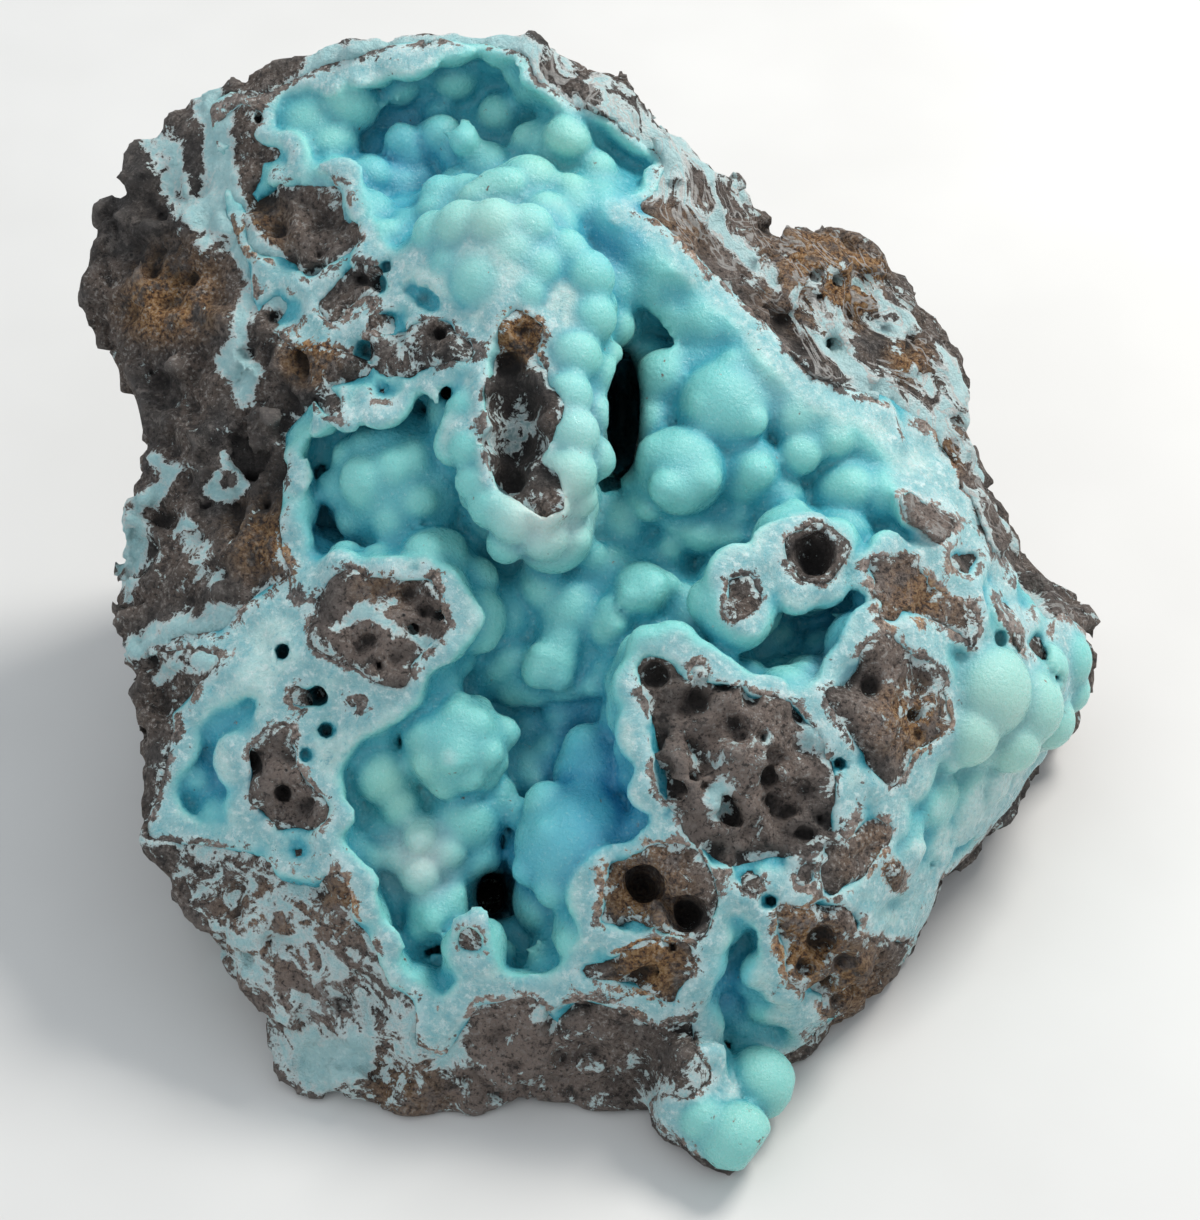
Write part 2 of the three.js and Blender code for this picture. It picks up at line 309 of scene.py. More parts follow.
# the lump
lump = {
    "seen": [
        (-41, 53, -14), (-30, 56, -10), (-20, 57.5, -8), (-13, 59, -8), (-7, 58.5, -6), (1, 53, -9),
        (10, 45, -10), (17, 40, -12), (26, 38, -14), (29, 32, -14), (35, 24, -14), (39, 11, -15),
        (43, 3, -15), (50, -1, -18), (49.5, -8, -20), (46, -15, -28), (33, -27, -19.5), (30.5, -35, -10),
        (28, -40.5, -7), (19, -45, -2), (4, -51, 2), (-10, -48.5, 0), (-23, -51, 2), (-31, -49, 0.5),
        (-39, -34, 1), (-46, -23, 2), (-45.5, -15, -2), (-48.5, 0, -8), (-46, 13, -10), (-46, 19, -12),
        (-51.5, 28, -15), (-52, 33, -16), (-51, 39.5, -16), (-48, 47.5, -16), (-8, 55, -2), (0, 39.5, 3),
        (-10, 37, 8), (-9, 21, 12), (-21.5, -1, 9), (-30, 16, 4), (-34, -15, 7), (-25, -27, 9),
        (14.5, -16, 14), (5.5, -29, 14), (10, -39, 11), (-8, -39, 9), (-19, -40, 8), (24, -35, 9),
        (30, -9, 9), (23, 5, 6), (28, 13, 3), (40, -1, 0), (45, -9, -6),
    ],
    "back": [
        (-40, 46, 55), (-10, 50, 66), (30, 44, 50), (50, 30, 25), (-38, 44, -2), (0, 50, -2), (35, 40, -2),
        (53, 15, -2), (-48, 20, -2), (-45, -10, 5),
    ],
    "toe": [
        (13.2, -57.3, 7), (14.5, -50, 3), (5, -52, 4), (9, -55.5, 8), (17, -43, 0), (8, -44, 12),
        (14, -43, 9), (7, -49, 10), (13, -50, 9.5), (11.5, -55, 10), (4, -42, 2),
    ],
    # its outline as the eye point sees it
    "outline": [
        (-42, 54), (-31, 58), (-20, 60), (-8, 61), (1.5, 56), (6.4, 49.2), (9, 45.4), (13.6, 43.2),
        (16.6, 38.8), (21, 38.4), (24.7, 38.3), (27, 36.5), (30.4, 33), (32.2, 29.8), (34.9, 27.5),
        (36.5, 24.2), (36.8, 21.9), (36.2, 19.6), (37.2, 16.3), (38, 13.6), (40.4, 10.8), (41.8, 6.9),
        (42.4, 4.6), (44.4, 2.6), (48.3, 0.6), (50, -1.9), (49.6, -7.6), (46.4, -13.9), (41.2, -20.2),
        (38, -24), (34.4, -27), (32.8, -31.5), (31.6, -35.3), (29.5, -41), (29, -60), (-31, -60),
        (-31.5, -51), (-32, -48), (-33, -44), (-35.2, -39.4), (-37.2, -35.9), (-41, -31.3), (-44, -27.8),
        (-46.4, -24.3), (-46.6, -20.3), (-45.8, -16.2), (-45.8, -12.1), (-47, -8.1), (-48.4, -3.4),
        (-49, 1.2), (-48, 5), (-47.2, 9.8), (-46.2, 14.6), (-46.2, 18.4), (-47.8, 21.8), (-48.3, 24.2),
        (-50.6, 26.1), (-52.2, 29), (-52.3, 33.8), (-52.5, 38), (-51.5, 42), (-50.4, 45), (-47.8, 49),
    ],
    "outlineEdge": (0.3, 0.4, 1.5),    # how uneven the cut to it is, how far inside, and its rounding
    # pieces broken off its outside: an oval each
    "scoops": [
        (-53, 19, -10, 7, 8, 12), (-36, 8, 9, 5.5, 9, 6), (-50, -33, 2, 8, 9, 10), (-34, 19, 6, 4, 4, 4),
    ],
    "scoopEdge": (1.0, 0.5, 0.6),      # how softly they join, how much they narrow outwards, rounding
    "toeJoin": 2.0,                 # how softly the toe joins the rest
    "rough": (0.8, 0.55, 0.35),     # height of the lumps 7, 3.2 and 1.5 mm wide
    # chips on the weathered outside: height, width, steepness, how much flatter than wide, and seed
    "chips": [(0.75, 6.5, 0.55, 1, 21), (0.4, 2.6, 0.5, 1.6, 22)],
}
foot = middle * (1, 1, 0)
wide, small, fine, tiny = lumps(7.0, 11), lumps(3.2, 12), lumps(1.5, 13), lumps(1.2, 14)
corners = [fromSight(*corner) for corner in lump["seen"]] + [foot + corner for corner in lump["back"]]
skin = hullField(corners)
skin = smoothMin(skin, hullField([fromSight(*corner) for corner in lump["toe"]]), lump["toeJoin"])
skin = np.maximum(roughened(skin, lump["rough"], (wide, small, fine)), -gridZ)
say("lump")


# how far out the face is, over the map, found by looking in from the eye point
def faceMap(farthest=-40.0, nearest=26.0):
    coarse = np.arange(-mapReach, mapReach + 1, 1.0)
    across, up = [sheet.ravel() for sheet in np.meshgrid(coarse, coarse, indexing="ij")]
    reached = np.full(len(across), farthest)
    half = step * counts / 2
    for out in np.arange(farthest, nearest, 0.5):
        points = fromSight(across, up, out).T
        inside = (np.abs(points - low - half) < half).all(1)
        reached[np.nonzero(inside)[0][sample(skin, points[inside]) < 0]] = out
    rows = np.stack([np.interp(mapLine, coarse, row) for row in reached.reshape(len(coarse), -1)])
    return np.stack([np.interp(mapLine, coarse, column) for column in rows.T], 1).astype(np.float32)


# a map's values on the whole grid
def spread(sheet):
    return readMap(sheet, gridAcross, gridUpFull)


face = faceMap()
gridUpFull = gridUp + 0 * gridAcross
below = spread(face) - gridOut      # depth under the face, along the line of sight
uneven, inside, rounding = lump["outlineEdge"]
skin = smoothMax(skin, spread(outlineMap(lump["outline"])) + uneven * wide + inside, rounding)
say("face")

# the hollows broken and worn into it
hollow = {
    # deep places, as far as the bare balls show: an outline, its depth, and how much its walls lean in
    "deep": {
        "main": ([
            (-2.5, 39.5), (0, 40.5), (5, 37), (10, 32.5), (16, 26.5), (20, 21.5), (26, 19.5), (29, 15.5),
            (30.5, 10.5), (33.5, 8), (27, 6.5), (24.5, 3), (28, 0), (25, -4), (19.5, -8), (15.5, -8.5),
            (10, -4), (5, -4.5), (2.2, -7), (3, -13), (4, -19), (4.5, -22), (0, -23), (-2, -26), (-1, -31),
            (-4, -34.5), (-8, -36.5), (-12, -33), (-16, -37.5), (-20, -35), (-21.5, -29), (-25, -24),
            (-25.5, -17), (-23, -14), (-17, -10), (-16.5, -7), (-12.5, -3), (-12, 1), (-14, 4), (-17, 6.5),
            (-25.5, 5), (-30, 6), (-30, 17), (-26.5, 20.5), (-22, 21.5), (-14.5, 22.5), (-14, 18),
            (-12.5, 13), (-9.5, 9.5), (-5.5, 6.2), (-1.5, 9), (-1.5, 13), (-1, 21), (0.5, 27), (1, 32),
            (-1.5, 37),
        ], 15.0, 0.2),
        "top": ([
            (-32.6, 49.6), (-27, 52.6), (-20, 54.4), (-12, 55.2), (-8.8, 54), (-8, 51.5), (-4, 49), (0, 47.5),
            (4.5, 44.5), (4, 42.8), (0, 41), (-4, 39.5), (-10, 40.5), (-16, 40), (-17.5, 37.5), (-20.5, 37),
            (-22, 38.5), (-23.5, 42.5), (-25, 44.5), (-29, 44.5), (-31.6, 46.6), (-32.8, 48.4),
        ], 12.0, 0.25),
        "leftLow": ([
            (-41, -14), (-38.5, -10.5), (-35, -9.2), (-34.5, -10.2), (-36.5, -13), (-36.5, -18), (-37.5, -21),
            (-40.5, -20.5), (-41.7, -18),
        ], 5.0, 0.2),
        "rightHigh": ([
            (40, 3.5), (41, 1), (43, -3), (40, -4), (38.5, -3), (37.5, 1), (38.5, 3.5),
        ], 5.0, 0.1),
        "rightLow": ([
            (35.5, -4), (40, -4.5), (45, -7), (46.5, -11), (45, -15), (41, -19), (36, -24), (32.5, -27),
            (31, -25), (31.8, -19), (34, -16), (38.5, -14), (36, -9),
        ], 6.5, 0.2),
        "channel": ([
            (13.5, -31.5), (15.2, -32.5), (15, -36.5), (16.5, -40), (19, -43.5), (14, -46), (11.5, -43),
            (11.5, -38), (11, -34.5),
        ], 9.0, 0.1),
        "slot": ([(30, -22), (32.2, -24), (32.2, -30.5), (27.5, -30.5), (27, -27), (29, -24)], 5.0, 0.1),
        "blackGap": ([
            (0.5, 25), (4, 26), (4, 21), (2.5, 14), (0, 12), (-1.5, 13), (0, 17), (0.8, 21),
        ], 34.0, -0.02),
        "blackPit": ([(-12, -26), (-9.5, -26.5), (-9, -31), (-11.5, -30.5)], 30.0, 0.0),
    },
    "crust": 2.2,      # how far past the bare balls the rock is
    "rim": 0.7,        # the shallow crust reaches this close to them
    # shallow places that the crust fills to the face
    "shallow": [
        [
            (-39, 50.5), (-38.4, 47), (-37.6, 43), (-37.4, 39.5), (-36.6, 36.8), (-35.4, 34.6), (-35, 31),
            (-34, 28), (-31, 26), (-27, 26), (-22, 24), (-25.5, 21), (-30.5, 18), (-30, 14), (-26, 16),
            (-13, 19), (-8, 15), (0, 12), (2, 34), (-2, 41), (-10, 40), (-18, 37), (-22, 41), (-27, 48),
            (-37, 52),
        ],
        [
            (-30.5, 6), (-31.5, 3.5), (-36, 0.5), (-38, -2), (-40.5, -2), (-47, -4), (-46.5, -5), (-41, -4),
            (-37.5, -4.5), (-40.5, -8), (-43, -10.5), (-41.5, -14), (-43.5, -16), (-45, -20), (-46, -23),
            (-41, -23.5), (-38.5, -24), (-34, -24.5), (-32, -27), (-28, -28), (-25.5, -24.5), (-25, -31),
            (-20.5, -34.5), (-21.5, -37.5), (-18.5, -39), (-18.5, -43.5), (-15.5, -45.5), (-14.5, -43),
            (-12, -39.5), (-7, -39), (-4.5, -42), (-2, -39), (2, -40), (6, -42), (11, -40), (11.5, -43),
            (10, -44.5), (11, -46.5), (9, -48.5), (6, -48), (4, -50), (9, -55.5), (14, -56), (19, -49),
            (20, -43), (28, -42), (31, -37.5), (33, -33), (32.5, -27), (36, -24), (44, -18), (46.5, -13),
            (49.5, -8), (50, -3), (46, 0), (43.5, -3), (41, 2), (38.5, 8), (36.5, 14), (33, 19), (29, 21),
            (25, 21.5), (20, 11), (0, 1), (-20, 5),
        ],
    ],
    "depth": 4.5,      # of the shallow places
    "clear": 2.5,      # rock left under everything
    "back": 3.0,       # and behind it
    "uneven": 0.5,     # how uneven the walls are
    "floor": (1.5, 4.0),     # how uneven the deep floors are, and the rounding where they meet the walls
    "join": 1.0,       # how softly one hollow joins the next
    # the whole broken face, as an outline; outside it the rock is weathered
    "opening": [
        (-39.5, 51.5), (-30, 55.2), (-20, 56.2), (-9.5, 56.5), (-8, 51), (0, 47.5), (4, 42), (0, 40.5),
        (6, 36.5), (16, 27), (20, 21.5), (28, 18), (33, 8), (38.5, 5), (41, -3), (46, -1), (50, -3),
        (49.5, -8), (46, -15), (33, -27), (31, -39), (19, -49), (9, -56), (6, -48), (4, -40), (-7, -39),
        (-15, -45), (-25, -29), (-35, -24.5), (-46, -23), (-42, -11), (-37, -2), (-30, 5), (-30, 18),
        (-25, 22), (-36, 28), (-38, 38),
    ],
}
deepOutlines = [outlineMap(outline) for outline, depth, lean in hollow["deep"].values() if lean > 0]
rimMap = np.maximum(np.minimum.reduce([outlineMap(outline) for outline in hollow["shallow"]]),
                    hollow["rim"] - np.minimum.reduce(deepOutlines))
wallUneven = hollow["uneven"] * small
uneven, rounding = hollow["floor"]
cavity = emptyField()
for outline, depth, lean in hollow["deep"].values():
    side = spread(outlineMap(outline)) - hollow["crust"] + lean * np.maximum(below, 0)
    cavity = smoothMin(cavity, smoothMax(side, below - depth + uneven * wide, rounding), hollow["join"])
for outline in hollow["shallow"]:
    place = np.maximum(spread(outlineMap(outline)), below - hollow["depth"])
    cavity = smoothMin(cavity, place, hollow["join"])
deeper = below > hollow["depth"] + 1
cavity = np.maximum(cavity, np.where(deeper, skin + hollow["back"], -9))
cavity = np.minimum(np.maximum(cavity, hollow["clear"] - gridZ), 9).astype(np.float32)
say("hollows")

# the rock that stands in them
stubs = {
    "outlines": [
        [(-8.5, 30.3), (-6, 28.3), (-5, 24), (-4.4, 19), (-5.4, 14), (-7.5, 12), (-9.8, 12.6), (-11.2, 16),
         (-11, 22), (-10.2, 27)],
        [(-28.5, 1.5), (-25.5, 3.5), (-20, 2.5), (-17, 3), (-16, -1), (-17, -3), (-20, -7.5),
         (-26, -4.5), (-28.5, -2)],
        [(-35, -14), (-31.5, -12), (-30, -17), (-27, -20), (-29, -22), (-32, -22), (-34.5, -19)],
        [(3.2, -5.6), (4.6, -4), (7.4, -4.4), (9.6, -7.4), (14.5, -9), (19, -9.5), (22.5, -13.5),
         (22.5, -22), (19, -25), (14, -25.5), (10, -23), (6.5, -18), (5, -12)],
        [(0.5, -25), (4.5, -23.5), (9, -24.5), (11.5, -29), (9.5, -32), (4, -31.5), (-0.5, -31.5)],
        [(-2, -36), (4, -34), (8, -33.5), (9, -36), (7, -39), (3, -37.5)],
        [(17.5, -32), (22, -29.5), (26, -30.5), (25.5, -33), (30.5, -34), (29, -40), (26, -42),
         (22.5, -39.5), (19, -36.5)],
        [(22.5, -8), (26, -5), (29, -3), (34, -6), (34.5, -11), (31.5, -13.5), (29.5, -18),
         (27.5, -15.5), (25, -12.5)],
        [(27, 4), (30, 5), (33, 2), (37.5, -1), (37, -3), (33, -1), (29, 1)],
        [(19.5, 7), (21.5, 8), (24, 6), (23, 3.5), (20.5, 3), (19, 5)],
        [(13, 3), (15, 3), (16, 1), (15, 0), (13, 0)],
        [(-35.5, 40.5), (-32.5, 42.5), (-26, 42.5), (-25.5, 40), (-24, 37.5), (-25.5, 36), (-29.5, 33),
         (-31.5, 35), (-35, 37)],
        [(-38, 44.5), (-35.5, 47), (-31.5, 45.5), (-34, 44.5), (-34, 42.5), (-35, 41), (-36, 41),
         (-37.5, 43.5)],
        [(-22.5, 26.5), (-17, 28.5), (-15, 27), (-15.5, 25), (-19, 23.5), (-22, 24.5)],
        [(22, -26), (25, -23), (27, -19), (29, -22), (26, -27), (23, -28.5)],
        [(-34.5, 31), (-32, 32.5), (-30, 31), (-30.5, 29), (-32.5, 27.5), (-34, 26.5), (-35, 28.5)],
        [(-28, 30.5), (-25.5, 33.5), (-24.5, 35), (-22, 34), (-22, 32), (-24, 30.5), (-26.5, 29)],
        [(30.5, 11.5), (32.5, 10.5), (35, 8.5), (33.5, 8), (31, 9)],
        [(-38, 48.5), (-36, 50), (-34, 49), (-35.5, 47.5), (-37.5, 47)],
        [(42.5, -3), (44, -2), (45, -5.5), (46, -7), (44.5, -5.5)],
    ],
    # bits beside them: across, up, radius
    "bits": [
        (29.1, -0.3, 0.5), (36.5, 5, 0.8), (23.5, -24, 1.0), (26.5, -24.5, 0.9), (20.5, -26.5, 1.0),
        (15, -27, 0.9), (24.5, -10.8, 0.8), (-28, 1, 0.7), (-30.5, 1.5, 0.6), (-27.6, -1.2, 0.7),
        (-21, 29, 0.8), (-24.7, -9.4, 0.8), (-29.6, -8.9, 0.5), (-15.6, 28, 0.7), (-13.5, 26, 0.8),
        (-13.4, -33.2, 1.1), (-30.2, -24.2, 0.9), (-27.5, 20.8, 1.0), (-21.5, 21.8, 0.6), (37.5, 13, 0.8),
        (35.5, 17, 1.0), (31.5, 18, 0.8), (41, 1, 0.8), (18.8, -31, 0.8), (29.5, -27, 0.9),
        (9.5, -6.2, 0.9),
    ],
    # raised floors under the crust: an outline and the depth of the top
    "buried": [
        ([(-13, 1), (-4, 4), (5, 5), (10, 1), (10, -4), (4, -7), (-4, -8), (-12, -7)], 10.5),
        ([(5, 24), (14, 26), (25, 20), (27, 11), (20, 7), (10, 7), (4, 11)], 8.5),
        ([(-19, 57), (-16, 59.5), (-8, 60), (-6, 57.5), (-10, 56.8), (-16, 56.6)], 3.0),
        ([(-17, 41), (-8, 42.5), (-2, 42.5), (0, 38), (-6, 36), (-17, 35)], 5.0),
        ([(-25, -15), (-13, -10), (-10, -20), (-16, -31), (-22, -33)], 8.0),
    ],
    "buriedRound": 3.0,          # the rounding of their edges
    "foot": -16.0,               # how far out their feet are
    "uneven": (0.5, 0.5, 0.5),   # height of the lumps 3.2, 1.5 and 1.2 mm wide on them
}
stubUneven = roughened(wallUneven, stubs["uneven"], (small, fine, tiny))
stubMap = np.minimum.reduce([outlineMap(outline) for outline in stubs["outlines"]])
for across, up, radius in stubs["bits"]:
    stubMap = np.minimum(stubMap, np.hypot(mapAcross - across, mapUp - up) - radius)
standing = spread(stubMap) + stubUneven
for outline, depth in stubs["buried"]:
    side = spread(outlineMap(outline)) + wallUneven
    standing = np.minimum(standing, smoothMax(side, depth - below, stubs["buriedRound"]))
standing = np.maximum(standing, stubs["foot"] - gridOut)
wall = np.minimum(-(cavity + wallUneven), standing).astype(np.float32)    # rock is negative
say("stubs")

# the crust: balls seated on the walls
crust = {
    # lobes placed where the line of sight meets the wall: across, up, radius, bumps, and its own seat if any
    "lobes": [
        (-19.9, 12.4, 7.6, 44, 0.9), (-26.8, 13.2, 3.2, 0, 0.7), (-26.2, 17.2, 2.8, 0, 0.7),
        (-26, 9.2, 2.8, 0, 0.7), (12.4, 20.1, 5.0, 0, 0.6), (11, 18.8, 2.2, 0, 2.3),
        (8.1, 13.9, 4.6, 0, 0.6), (7.9, 12.3, 2.8, 0, 1.7), (6.5, 23.2, 3, 0), (9.5, 24, 2.8, 0),
        (14.8, 13.8, 3.7, 0, 0.7), (20.6, 17.7, 4.2, 0, 0.7), (19.4, 19.1, 2.5, 0, 2.1),
        (22.6, 17.4, 2.8, 0, 1.7), (20, 15.6, 2.1, 0, 2.4), (13.9, 6.1, 3.6, 0, 0.7),
        (28.6, 11.2, 2.6, 0, 0.6), (20.2, 15, 2.4, 0, 1.0), (17.7, 11.2, 2.8, 0, 0.8),
        (24.6, 11.6, 3.6, 0, 0.7), (26.4, 12.6, 2.6, 0, 1.0), (13.5, 24.5, 3.0, 0, 0.6),
        (16, 20, 3.2, 0, 0.6), (1.7, 8.7, 3.3, 0, 0.6), (4, 17.5, 2.6, 0), (6.8, 5.9, 2.6, 0),
        (-14.9, 7.4, 2.3, 0), (-11.1, 7.1, 2.5, 0), (-4.7, 7.6, 4.4, 5), (5, 31, 4.4, 0, 0.7),
        (4.5, 27.3, 2.6, 0), (4, 36, 3, 0), (9, 29, 3, 0), (-5.7, 3, 3, 4), (-12.9, -6.9, 3.1, 0),
        (-9, -4.6, 2.4, 4), (-4.7, -5.1, 3, 6), (1.2, -1.5, 3, 6), (4.2, 1.8, 3.4, 6), (8.8, -0.8, 3, 4),
        (15.7, -3.3, 3.2, 0), (-2.2, -9.7, 3, 4), (1.4, -10.2, 2.4, 0), (-14.5, -13.5, 5.5, 26),
        (-21.7, -16.4, 3.2, 0, 0.8), (-17.7, -22.4, 2.2, 0, 1.0), (-18, -26.3, 2.2, 0, 0.95),
        (-15.2, -24, 1.9, 0, 0.8), (-19.8, -20.2, 1.9, 0, 0.95), (-20.2, -24.6, 1.9, 0, 0.9),
        (-16.4, -29.9, 3.5, 6), (-13.1, -32, 3, 6), (-2.2, -23.6, 6.3, 0, 0.9), (-0.4, -16.6, 4.3, 0, 1.0),
        (-6.0, -24, 3.6, 0, 0.95), (-7.1, -30.8, 2.8, 0), (-4.6, -29, 4.2, 0, 1.0), (40, -17, 3.4, 0, 1.0),
        (36.5, -21, 3.2, 0, 1.0), (43, -14.5, 3, 0, 1.0), (-10, -19, 3, 4), (-28.4, 47.6, 4.6, 0, 0.9),
        (-27.2, 46, 2.8, 0, 2.0), (-25, 50.6, 3.2, 0, 0.9), (-15.9, 49.4, 2.0, 0, 0.7),
        (-16.4, 46.9, 2.5, 0, 0.8), (-14, 45.4, 2.4, 0, 0.8), (-19, 45.5, 3.0, 0, 0.7), (-12, 44, 2.6, 0),
        (-10.1, 49.5, 2.3, 0, 0.8), (-4.2, 45.4, 4.6, 14, 0.95), (-6.6, 42.6, 2.3, 0, 0.95),
        (-3.2, 41.6, 2.2, 0, 0.95), (-11.4, 44.2, 2.8, 0, 0.8), (-20, 42, 3, 6), (-14, 42, 2.8, 3),
        (-23, 43, 2.8, 0), (-8, 44.5, 2.4, 0), (-10, 38.8, 2.2, 3), (-14, 38.5, 1.8, 3), (12, -39, 2.5, 0),
        (14, -33, 2.2, 0), (36, -19, 3.4, 6), (40, -16, 3, 5), (33, -23, 2.6, 4), (41, -8, 4, 6),
        (45, -9, 3, 4), (48.5, -7, 2.2, 4), (48.5, -3, 1.8, 3), (-40, -17, 2.2, 4), (-38.5, -14, 1.8, 2),
        (36.5, 20.5, 1.6, 4), (38.5, 1, 2.2, 0), (25, -1, 3, 3), (22, -1, 3.4, 0), (-1, 31, 2, 3),
        (0.5, 27, 2, 3), (0, 23, 1.8, 3), (0, 18, 2, 3), (-1, 35, 2.2, 3), (-5.5, 9.5, 1.4, 8),
        (-4, 12, 1.4, 6),
    ],
    "seat": 0.45,              # how far a lobe's middle stands off the wall, of its radius
    "bump": (0.34, 0.5),       # a bump's radius, of its lobe's
    # a bumpy lobe's own ball, how far its bumps stray, their size and their reach, of its radius
    "few": {"ball": 0.9, "stray": 0.5, "size": 1.0, "reach": 1.14},
    "many": {"ball": 0.93, "stray": 0.1, "size": 0.75, "reach": 1.04},    # over 20 bumps
    "soft": 0.45,              # how softly balls of one lobe join
    # balls that stand proud of the broken face: across, up, how high their middles are, radius
    "whole": [
        (-13.3, 20.2, -1.8, 2.0), (-13.1, 16.2, -1.6, 2.0), (-12.4, 12.8, -1.6, 2.1),
        (-10.9, 10.4, -1.5, 2.3), (-13.0, 24.0, -2.0, 1.9), (-8.6, 9.2, -1.2, 2.6), (-5.4, 10.6, -0.8, 2.4),
        (-3.0, 13.6, -1.0, 2.7), (-2.6, 17.6, -1.2, 2.6), (-3.2, 21.4, -1.4, 2.5), (-2.6, 25.3, -1.2, 2.8),
        (-1.0, 29.2, -1.6, 2.7), (-1.4, 33.2, -1.0, 2.9), (-3.6, 35.6, -1.6, 2.6), (-0.6, 15.2, -3.6, 2.3),
        (-0.4, 19.6, -3.8, 2.2), (-0.2, 23.6, -3.8, 2.3), (-5.6, 7.4, -3.0, 2.5), (-9.4, 6.6, -3.4, 2.0),
        (-7.2, 38.0, -1.6, 2.7), (-10.6, 38.4, -1.4, 2.8), (-14.0, 38.2, -1.6, 2.6),
        (-16.6, 37.2, -1.6, 2.0), (-6.2, 34.0, -1.8, 2.9), (-2.2, 11.2, -3.2, 2.0), (15.9, -47.3, 1.6, 3.7),
        (13.6, -52.7, 1.4, 3.6), (10.4, -50.8, -0.8, 2.4), (38, -8, -3.2, 5.2), (42.3, -9.6, -2.6, 4.2),
        (36.4, -12.2, -2.4, 3.6), (41, -13.2, -2.2, 3.2), (44, -6, -2.5, 3.0), (46, -5, -5, 3.4),
        (44.5, -11, -5, 3.2), (46.6, -8, -6, 2.6), (35.6, 22.6, -1.6, 2.0), (35.2, 19.4, -1.6, 1.7),
        (36.4, 16.6, -2, 1.5), (-11.4, 32.4, -3.2, 4.2), (-14.6, 34.4, -2.6, 2.8), (-9, 35.6, -2.6, 3.0),
        (-16.4, 37.6, -2.0, 2.4), (-13.6, 38.6, -1.6, 2.4), (-7.4, 31.6, -1.8, 2.4),
    ],
    # balls seated on the walls that are still bare, not far outside the lump or from a hollow
    "firstBalls": {
        "spacing": 3.6, "radius": (2.0, 4.0), "blend": 0.5, "clear": 1.2, "outside": 2.5, "away": 1.5,
    },
    # smaller balls sunk into the first ones, away from the wall
    "secondBalls": {
        "spacing": 4.6, "radius": (1.3, 2.6), "blend": 0.5, "sunk": 0.6, "outside": 1.5, "away": 1.2,
    },
    # dark gaps between the balls: across, up, out and the three radii
    "gaps": [(2.2, 19.5, -8, 1.9, 6.5, 16), (-10.9, -28.4, -6, 1.6, 2.3, 14), (-15.2, 21.8, -3, 1, 1.3, 9)],
    "gapEdge": (0.5, 0.8, 0.8),    # how softly they join, how much they narrow outwards, and their rounding
    "edge": 1.6,               # rounding where a ball meets the broken face
    "faceUneven": 0.12,        # how uneven the broken face is
    "wholeEdge": (0.5, 0.3),   # how softly the proud balls join, and how far they sink into the stubs
    "feather": (0.12, 0.6),    # how far it stands off the rock at its rim, and how steeply it rises
    # along this line the crust is thin
    "thinLine": [
        (-9, 56), (-8, 51), (-3, 48), (3, 46), (6, 41), (0, 41), (6, 37), (11, 32), (17, 26), (21, 21),
        (27, 19), (31, 12),
    ],
    "thinReach": 5.0,      # and this far from it
    # smooth walls that slope into the hollow: a line, how far they reach, and how much for their depth
    "slopes": [
        ([(1, 40.5), (6, 36.8), (11, 31.8), (16, 27)], 5.5, 0.85),
        ([(16, 27), (21, 21), (27, 18.8)], 3.4, 0.8), ([(27, 18.8), (31, 13), (33, 8)], 2.2, 0.6),
    ],
    "slopeEdge": (0.8, 0.35, 1.2),    # how thick they are at their rims, how uneven, how softly they join
    "sheet": (1.3, 0.3, 0.8),         # the least thickness on a wall, how uneven, how softly it joins
    "rimEdge": (0.6, 1.2),            # how uneven the shallow crust's edge is, and how softly it joins
}
onSurface = 0.7 * step     # a grid point this near to a surface is on it
dice = np.random.default_rng(3)
grown = emptyField()


def outOnWall(across, up):
    line = np.arange(30.0, -40.0, -0.4)
    points = np.array([fromSight(across, up, out) for out in line])
    rock = np.nonzero((sample(wall, points) < 0) & (sample(skin, points) < 0))[0]
    return line[rock[0]] if len(rock) else 0.0


for across, up, radius, bumps, *lift in crust["lobes"]:
    seat = lift[0] if lift else crust["seat"]
    rule = crust["many" if bumps > 20 else "few"]
    centre = fromSight(across, up, outOnWall(across, up) + seat * radius)
    centres, radii = [centre], [radius * (rule["ball"] if bumps else 1)]
    for k in range(bumps):
        z = 1 - 2 * (k + 0.5) / bumps
        angle = 2.39996 * k + 7 * across     # the golden angle spreads them evenly
        away = np.array([math.sqrt(1 - z * z) * math.cos(angle), math.sqrt(1 - z * z) * math.sin(angle), z])
        away += dice.normal(size=3) * rule["stray"]
        away /= np.linalg.norm(away)
        bump = radius * dice.uniform(*crust["bump"]) * rule["size"]
        centres.append(centre + away * (radius * rule["reach"] - bump))
        radii.append(bump)
    addBalls(grown, centres, radii, crust["soft"])

rule = crust["firstBalls"]
thin = spread(lineMap(crust["thinLine"])) < crust["thinReach"]
seats = (np.abs(wall) < onSurface) & (skin < rule["outside"]) & (cavity < rule["away"])
seats &= grown > rule["clear"]
_, centres = scatter(seats & ~thin, rule["spacing"], 5)
addBalls(grown, centres, dice.uniform(*rule["radius"], len(centres)), rule["blend"])
least, uneven, soft = crust["sheet"]
grown = smoothMin(grown, wall - least - uneven * small, soft).astype(np.float32)
least, uneven, soft = crust["slopeEdge"]
for line, reach, lean in crust["slopes"]:
    fromLine = spread(lineMap(line))
    slopeWall = np.maximum(fromLine - least - lean * np.clip(below, 0, 99), fromLine - reach)
    grown = smoothMin(grown, (slopeWall + uneven * small) / math.hypot(1, lean), soft).astype(np.float32)
uneven, soft = crust["rimEdge"]
grown = smoothMin(grown, spread(rimMap) + uneven * small, soft).astype(np.float32)
say(f"{len(centres)} first balls")

